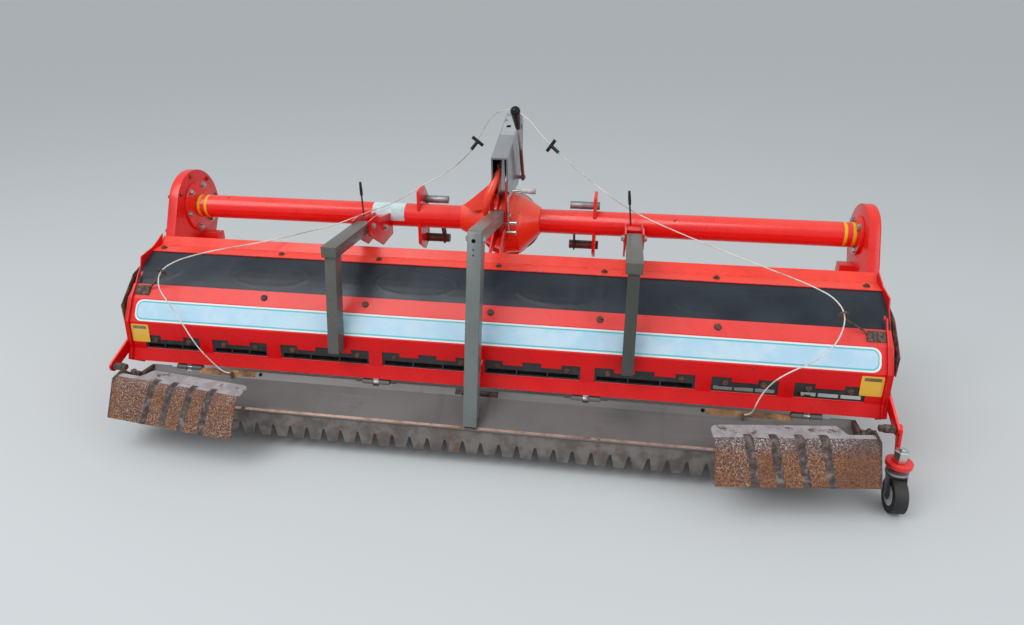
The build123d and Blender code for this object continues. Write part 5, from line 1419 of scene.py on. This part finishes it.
def fold_place(along, out, across):
    """A working place by its distance down the fold line and out from it, then folded."""
    forward_mm = FOLD_FORWARD - along * cos(FOLD_SLOPE) - out * sin(FOLD_SLOPE)
    up_mm = FOLD_UP - along * sin(FOLD_SLOPE) + out * cos(FOLD_SLOPE)
    return fold_turn @ at(across, forward_mm, up_mm)


def ring(start, length, radius, bore, sides=28):
    """Points and faces of a short tube along the fold line."""
    side_way = fold_line.orthogonal().normalized()
    other_way = fold_line.cross(side_way)
    end = start + length
    section = ((start, bore), (start, radius), (end, radius), (end, bore))
    points = []
    for distance, size in section:
        for angle in circle(sides):
            offset = (side_way * cos(angle) + other_way * sin(angle)) * size
            points.append(FOLD_PIVOT + (fold_line * distance + offset) * MM)
    return points, row_faces(len(section), sides, close_rows=True)


def row_travel(kind, share, start):
    """How far down the section a row lies: on the flange, or past it on the bend and the face."""
    if kind == "flange":
        return start + (FLANGE_ROWS_END - start) * share
    return FLANGE_ROWS_END + (FACE_END - FLANGE_ROWS_END) * share


def wing_plate(side):
    """The plate of a side leveller, with a material for its flange, face and ribs."""
    chance = random.Random(11 + side)
    wave = [chance.uniform(0.0, 2 * pi) for _ in range(2)]
    rows = [("flange", share) for share in (0.0, 0.2, 0.4, 0.6, 0.8, 1.0)]
    rows += [("face", step / FACE_ROWS) for step in range(1, FACE_ROWS + 1)]
    points, marks = [], []
    for kind, share in rows:
        for along in columns:
            travelled = row_travel(kind, share, first_row(along))
            spot, outward_way = wing_section(travelled)
            rise = rib_height(travelled) * rib_share(along, travelled)
            rise += 0.5 * share * sin(along / 47 + wave[0])
            rise += 0.3 * sin(along / 21 + wave[1]) * (kind == "face")
            spot = spot + outward_way * rise
            points.append(fold_turn @ at(WING_START + along, spot.x, spot.y))
    faces = row_faces(len(rows), len(columns), close_count=False)
    for kind, share in rows[1:]:
        travelled = row_travel(kind, share, 0.0)
        for before, after in zip(columns, columns[1:]):
            along = (before + after) / 2
            if travelled > FLANGE_END - 10 and rib_share(along, travelled) > RIB_MARKED_FROM:
                marks.append(RIB_MARK)
            else:
                marks.append(FLANGE_MARK if travelled < FLANGE_END + 3 else FACE_MARK)
    return points, faces, marks


for side, word in ((-1, "left"), (1, "right")):
    mirror = Vector((side, 1, 1))
    points, faces, marks = wing_plate(side)
    points = [point * mirror for point in points]
    sheet = new_piece("side_leveller_plate_" + word, points, faces, smooth_angle=60)
    for material in (flange_steel, wing_rust, rib_rust):
        sheet.data.materials.append(material)
    for face, mark in zip(sheet.data.polygons, marks):
        face.material_index = mark
    thickness = sheet.modifiers.new("thickness", "SOLIDIFY")
    thickness.thickness = WING_SHEET * MM
    thickness.offset = 0
    settle(sheet, smooth_angle=50)
    outlines = []
    for across in (WING_START, WING_START + END_SHEET):
        edge = fold_turn @ at(across, *WING_EDGE)
        outlines.append([fold_place(*spot, across) if spot else edge for spot in END_FACE])
    parts = [slab(*outlines)]
    for start in KNUCKLE_STARTS:
        end = start + KNUCKLE_LENGTH
        parts.append(ring(start, KNUCKLE_LENGTH, KNUCKLE_RADIUS, KNUCKLE_BORE))
        web = [(start, -7.5), (end, -7.5), (end, -24), (start, -24)]
        parts.append(slab(*[[fold_place(*spot, across) for spot in web]
                            for across in KNUCKLE_WEB_X]))
    points, faces = join_parts(parts)
    points = [point * mirror for point in points]
    ends = new_piece("side_leveller_end_" + word, points, faces)
    ends.data.materials.append(dark_rust)
    for piece in (sheet, ends):
        face_outward(piece)
        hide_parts("wing_" + word)
        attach(piece, "side_leveller_" + word)
    tree_of_solid = surface_tree("wing_" + word)
    gaps = [tree_of_solid.find_nearest(vert.co)[3] / MM for vert in sheet.data.vertices]
    furthest = round(max(gaps), 2)
    print(sheet.name, len(sheet.data.polygons), "faces, furthest from the solid", furthest, "mm")

# %% [markdown]
# ## Worn places of the levelling board
# Soil has rubbed the board's rear edge bare; its bright copper colour is that wear together
# with a painted highlight. Rust has bloomed in two strips beside the folded side levellers,
# where the plate stays wet. These are thin films on the board's own faces, and they tip with it.

# %% Board films
# The copper colour of the board's rear edge is worn bare steel with a painted highlight.
worn_edge_and_highlight = plated("worn_edge_and_highlight", (0.66, 0.44, 0.36), (0.36, 0.22, 0.17), 0.24, 0.40, metal=0.85,
                     stain=(0.16, 0.09, 0.07), stain_level=0.60)
orange_rust = rusted("orange_rust", (0.12, 0.065, 0.038), (0.36, 0.15, 0.035), (0.50, 0.27, 0.09),
                     28.0, 10.0)


def section_place(place):
    """A place as (forward, up) in millimetres from the tube's axis."""
    return ((place.y - TUBE_Y) / MM, (place.z - TUBE_Z) / MM)


def flat_place(forward_mm):
    """Where a ray from above lands on the levelling board."""
    return section_place(surface("leveller", at(150, forward_mm, 100), down)[0])


board_edge, board_mid = flat_place(-600.5), flat_place(-512)
# This film is the worn edge and its painted highlight.
film_on_face("board_edge_wear_and_highlight", board_edge, board_mid, (-989, 989), (0.0, 0.075), 0.25, 0.6,
             worn_edge_and_highlight, "board")
strip_edge, strip_top = flat_place(-502.5), flat_place(-494)
for word, x_range in (("left", (-846, -668)), ("right", (622, 846))):
    film_on_face("board_rust_" + word, strip_edge, strip_top, x_range, (-0.1, 1.25), 0.25, 1.5,
                 orange_rust, "board")
print("board edge at", board_edge, "strip from", strip_edge, "to", strip_top)

# %% [markdown]
# ## Small parts behind the gearbox
# The inside of the mast is painted near-black as shade. The centre arm's pivot has zinc bosses, two
# bright pins stick out beside it, and each side arm carries a thin rod with a rubber sleeve.

# %% Mast inside, bosses, pins and marker rods
mast_mesh = rolled["mast"].data
# The faces inside the mast are painted shade.
mast_mesh.materials.append(shade_black)
inner_faces = 0
for face in mast_mesh.polygons:
    towards_middle = face.center.x * face.normal.x < 0 and abs(face.normal.x) > 0.8
    under_top = (face.normal.z < -0.6 and abs(face.center.x) < 0.0195
                 and face.center.z > at(0, 0, 120).z)
    if towards_middle or under_top:
        face.material_index = 1
        inner_faces += 1
print("inner faces of the mast:", inner_faces)

BOSS_ROWS = ((15, 0), (15, 3), (13.5, 4.5), (9, 4.5), (9, 9), (7.5, 10.5), (0.5, 10.5))
SIDE_PIN_ROWS = ((5.5, 0), (5.5, 24), (7.5, 24.5), (7.5, 31), (5.5, 32.5), (0.5, 32.5))
boss_parts = [spin_part(BOSS_ROWS, at(x, -108, 44), (way, 0, 0), 28)
              for x, way in ((-31, -1), (21, 1))]
for place in (at(20, -118, 24), at(20, -128, -3)):
    boss_parts.append(spin_part(SIDE_PIN_ROWS, place, (1, 0, 0), 20))
bosses = new_piece("pivot_bosses", *join_parts(boss_parts), smooth_angle=40)
finish_piece(bosses, "frame", bright_zinc)

ROD_RADIUS, SLEEVE_RADII = 2.6, [4.4, 4.6, 3.6]
SLEEVE_FROM, SLEEVE_PAST = 0.62, Vector((0, 0, 0.002))
ROD_ENDS = (((396, -72, 20), (385, -72, 125)), ((-446, -98, 20), (-448, -98, 127)))
rod_parts, sleeve_parts = [], []
for foot, top in ROD_ENDS:
    low, high = at(*foot), at(*top)
    rod_parts.append(tube_part([low, low.lerp(high, 0.5), high], ROD_RADIUS, sides=12))
    start = low.lerp(high, SLEEVE_FROM)
    sleeve_path = [start, start.lerp(high, 0.5), high + SLEEVE_PAST]
    sleeve_parts.append(tube_part(sleeve_path, SLEEVE_RADII, sides=14))
for name, parts, material, slot_name in (
    ("marker_rods", rod_parts, black_enamel, "black_paint"),
    ("marker_sleeves", sleeve_parts, handle_black, "grip"),
):
    finish_piece(new_piece(name, *join_parts(parts), smooth_angle=60), "frame", material)

# %% Bolts through the arms and saddles
arm_rows = [surface("centre_arm", at(-way * 200, -463, 84), (way, 0, 0)) for way in (1, -1)]
bolts("arm_bolts", arm_rows, "arm", zinc, "zinc", Head_Radius=0.0075, Head_Height=0.006,
      Washer_Radius=0.010, Seed=9)
SADDLE_X = 406
saddle_rows = []
for side in (-1, 1):
    for offset, way in ((-90, 1), (90, -1)):
        for forward_mm, up_mm in ((-100, -14), (-205, 22)):
            place = at(side * SADDLE_X + offset, forward_mm, up_mm)
            saddle_rows.append(surface("saddles", place, (way, 0, 0)))
bolts("saddle_bolts", saddle_rows, "frame", zinc, "zinc", Head_Radius=0.0085, Head_Height=0.007,
      Washer_Radius=0.0115, Seed=10)

# %% [markdown]
# ## Worn paint, holes and painted shade
# Under the top hitch point the mast's paint has worn to a paler patch, and a square hole in it
# shows as painted shade. The centre arm and the board have round holes. A hole that only shows
# as a dark spot is a thin disc of painted shade laid on the plate, which is far lighter than
# cutting the mesh. The slots of the left half and the first two of the right look black in the
# photograph, because what lies behind them is in shade. That can't be seen, so a thin black
# sheet of painted shade in each liner stands for it. It is a guess, and the solids keep those
# slots open.

# %% Worn patch, painted shade in holes and slots
mast_worn = enamel("mast_worn", (0.30, 0.32, 0.345), (0.42, 0.44, 0.46), coat=0.2, Fade=0.8,
                   Chips=0.66, Chip_Scale=30.0, Dust_Amount=0.10, Undercoat=(0.13, 0.12, 0.12, 1))
mast_low = surface("mast", at(0, -100, 400), down)[0]
mast_high = surface("mast", at(0, 120, 400), down)[0]
mast_line = [section_place(spot) for spot in (mast_low, mast_high)]
film_on_face("mast_patch", *mast_line, (-22, 22), (0.52, 1.12), 0.3, 5, mast_worn)
# The square hole is a film of painted shade.
film_on_face("mast_hole", *mast_line, (-11, 3), (0.755, 0.825), 0.55, 3, shade_black)


def disc(start, direction, node_name, radius):
    """Points and faces of a thin disc on a solid, where a ray finds it."""
    spot, normal = surface(node_name, start, direction)
    return spin_part([(radius, -0.3), (radius, 0.25), (0.3, 0.3)], spot, normal, 20)


# Each round hole is a disc of painted shade.
BOARD_HOLE_X = (-653, 614)
board_holes = join_parts([disc(at(x, -497, 100), down, "leveller", 5.5) for x in BOARD_HOLE_X])
finish_piece(new_piece("board_holes", *board_holes), "board", shade_black)
ARM_HOLES = ((84, 5.5), (62, 2.2), (48, 2.2))
arm_holes = join_parts([disc(at(-7, -700, up), forward, "centre_arm", radius)
                        for up, radius in ARM_HOLES])
finish_piece(new_piece("arm_holes", *arm_holes), "arm", shade_black)
# Thin black sheets of painted shade close the dark slots.
SHADE_MARGIN, SHADE_LIFT = 4, -9.0
shade_spans = [(-far, -near) for near, far in SLOT_SPANS] + list(SLOT_SPANS[:2])
for number, (near, far) in enumerate(shade_spans):
    film_on_face(f"slot_shade_{number}", PANEL_LOWER_BEND, PANEL_BEND,
                 (near - SHADE_MARGIN, far + SHADE_MARGIN), (0.01, 0.56), SHADE_LIFT, 2, shade_black)

# %% [markdown]
# ## Link, gusset, hooks and pins
# A cast link rises from beside the arm's pivot into the mast, a gusset runs from the gearbox to
# the mast's foot, a bent hook stands at each end of the panel, and a bright nut crowns the
# rear stand's kingpin. They are short turned shapes, bent rods and small plates, made by the
# helpers above.

# %% Small parts round the gearbox
LINK_LINE = (
    (-8, -84, 182), (-9, -90, 176), (-12, -100, 166), (-17, -116, 150), (-24, -131, 130),
    (-32, -140, 108), (-39, -142, 86), (-43, -138, 64), (-44, -132, 52),
)
LINK_RADII = [3, 9, 12, 12.5, 12.5, 12, 11, 10, 8]
link_bar = tube_part([at(*spot) for spot in LINK_LINE], LINK_RADII, sides=20)
link = new_piece("mast_link", *link_bar, smooth_angle=60)
finish_piece(link, "frame", orange_red)
gusset_face = ((-126, 60), (-104, 76), (-44, 126), (-33, 130), (-31, 52), (-100, 44))
GUSSET_SLOPE, GUSSET_FOOT = 0.28, 44
gusset = slab(*[[at(x, forward_mm + GUSSET_SLOPE * (up_mm - GUSSET_FOOT), up_mm)
                 for x, up_mm in gusset_face] for forward_mm in (-68, -57)])
KEEPER_SHEET = 5
keeper_face = ((26, -26), (56, -66), (60, -100), (34, -104), (8, -38))
keepers = [slab(*[[at(x + across, *spot) for spot in keeper_face] for across in (0, KEEPER_SHEET)])
           for x in (-221, 216)]
nut_rows = [(15.5, 0), (17, 1.5), (17, 30), (14.5, 32), (9, 32), (9, 36), (7.5, 38), (0.5, 38)]
nut = spin_part(nut_rows, Vector((1.085, TUBE_Y - 0.6, 0.1318)), (0, 0, 1), 6)
hook_line = ((-348, -134), (-352, -116), (-360, -107), (-371, -108), (-378, -118), (-380, -136))
hooks = [tube_part([at(side * 1062, *spot) for spot in hook_line], 3.4, sides=12)
         for side in (-1, 1)]
pin_rows = [(6, 0), (6, 14), (10, 14.5), (11, 17), (11, 40), (9, 42), (9, 50), (7, 52), (0.5, 52)]
pins = [spin_part(pin_rows, at(side * 1088, -556, -331), (-side, 0, 0), 24) for side in (-1, 1)]
for name, parts, material, slot_name, angle in (
    ("gearbox_gusset", [gusset], orange_red, "red_paint", 30),
    ("pin_keepers", keepers, dark_rust, "rusty_plate", 30),
    ("stand_nut", [nut], bright_zinc, "zinc", 25),
    ("edge_hooks", hooks, red_gloss, "red_paint", 60),
    ("strap_pins", pins, dark_rust, "rusty_plate", 40),
):
    piece = new_piece(name, *join_parts(parts), smooth_angle=angle)
    face_outward(piece)
    finish_piece(piece, "frame", material)
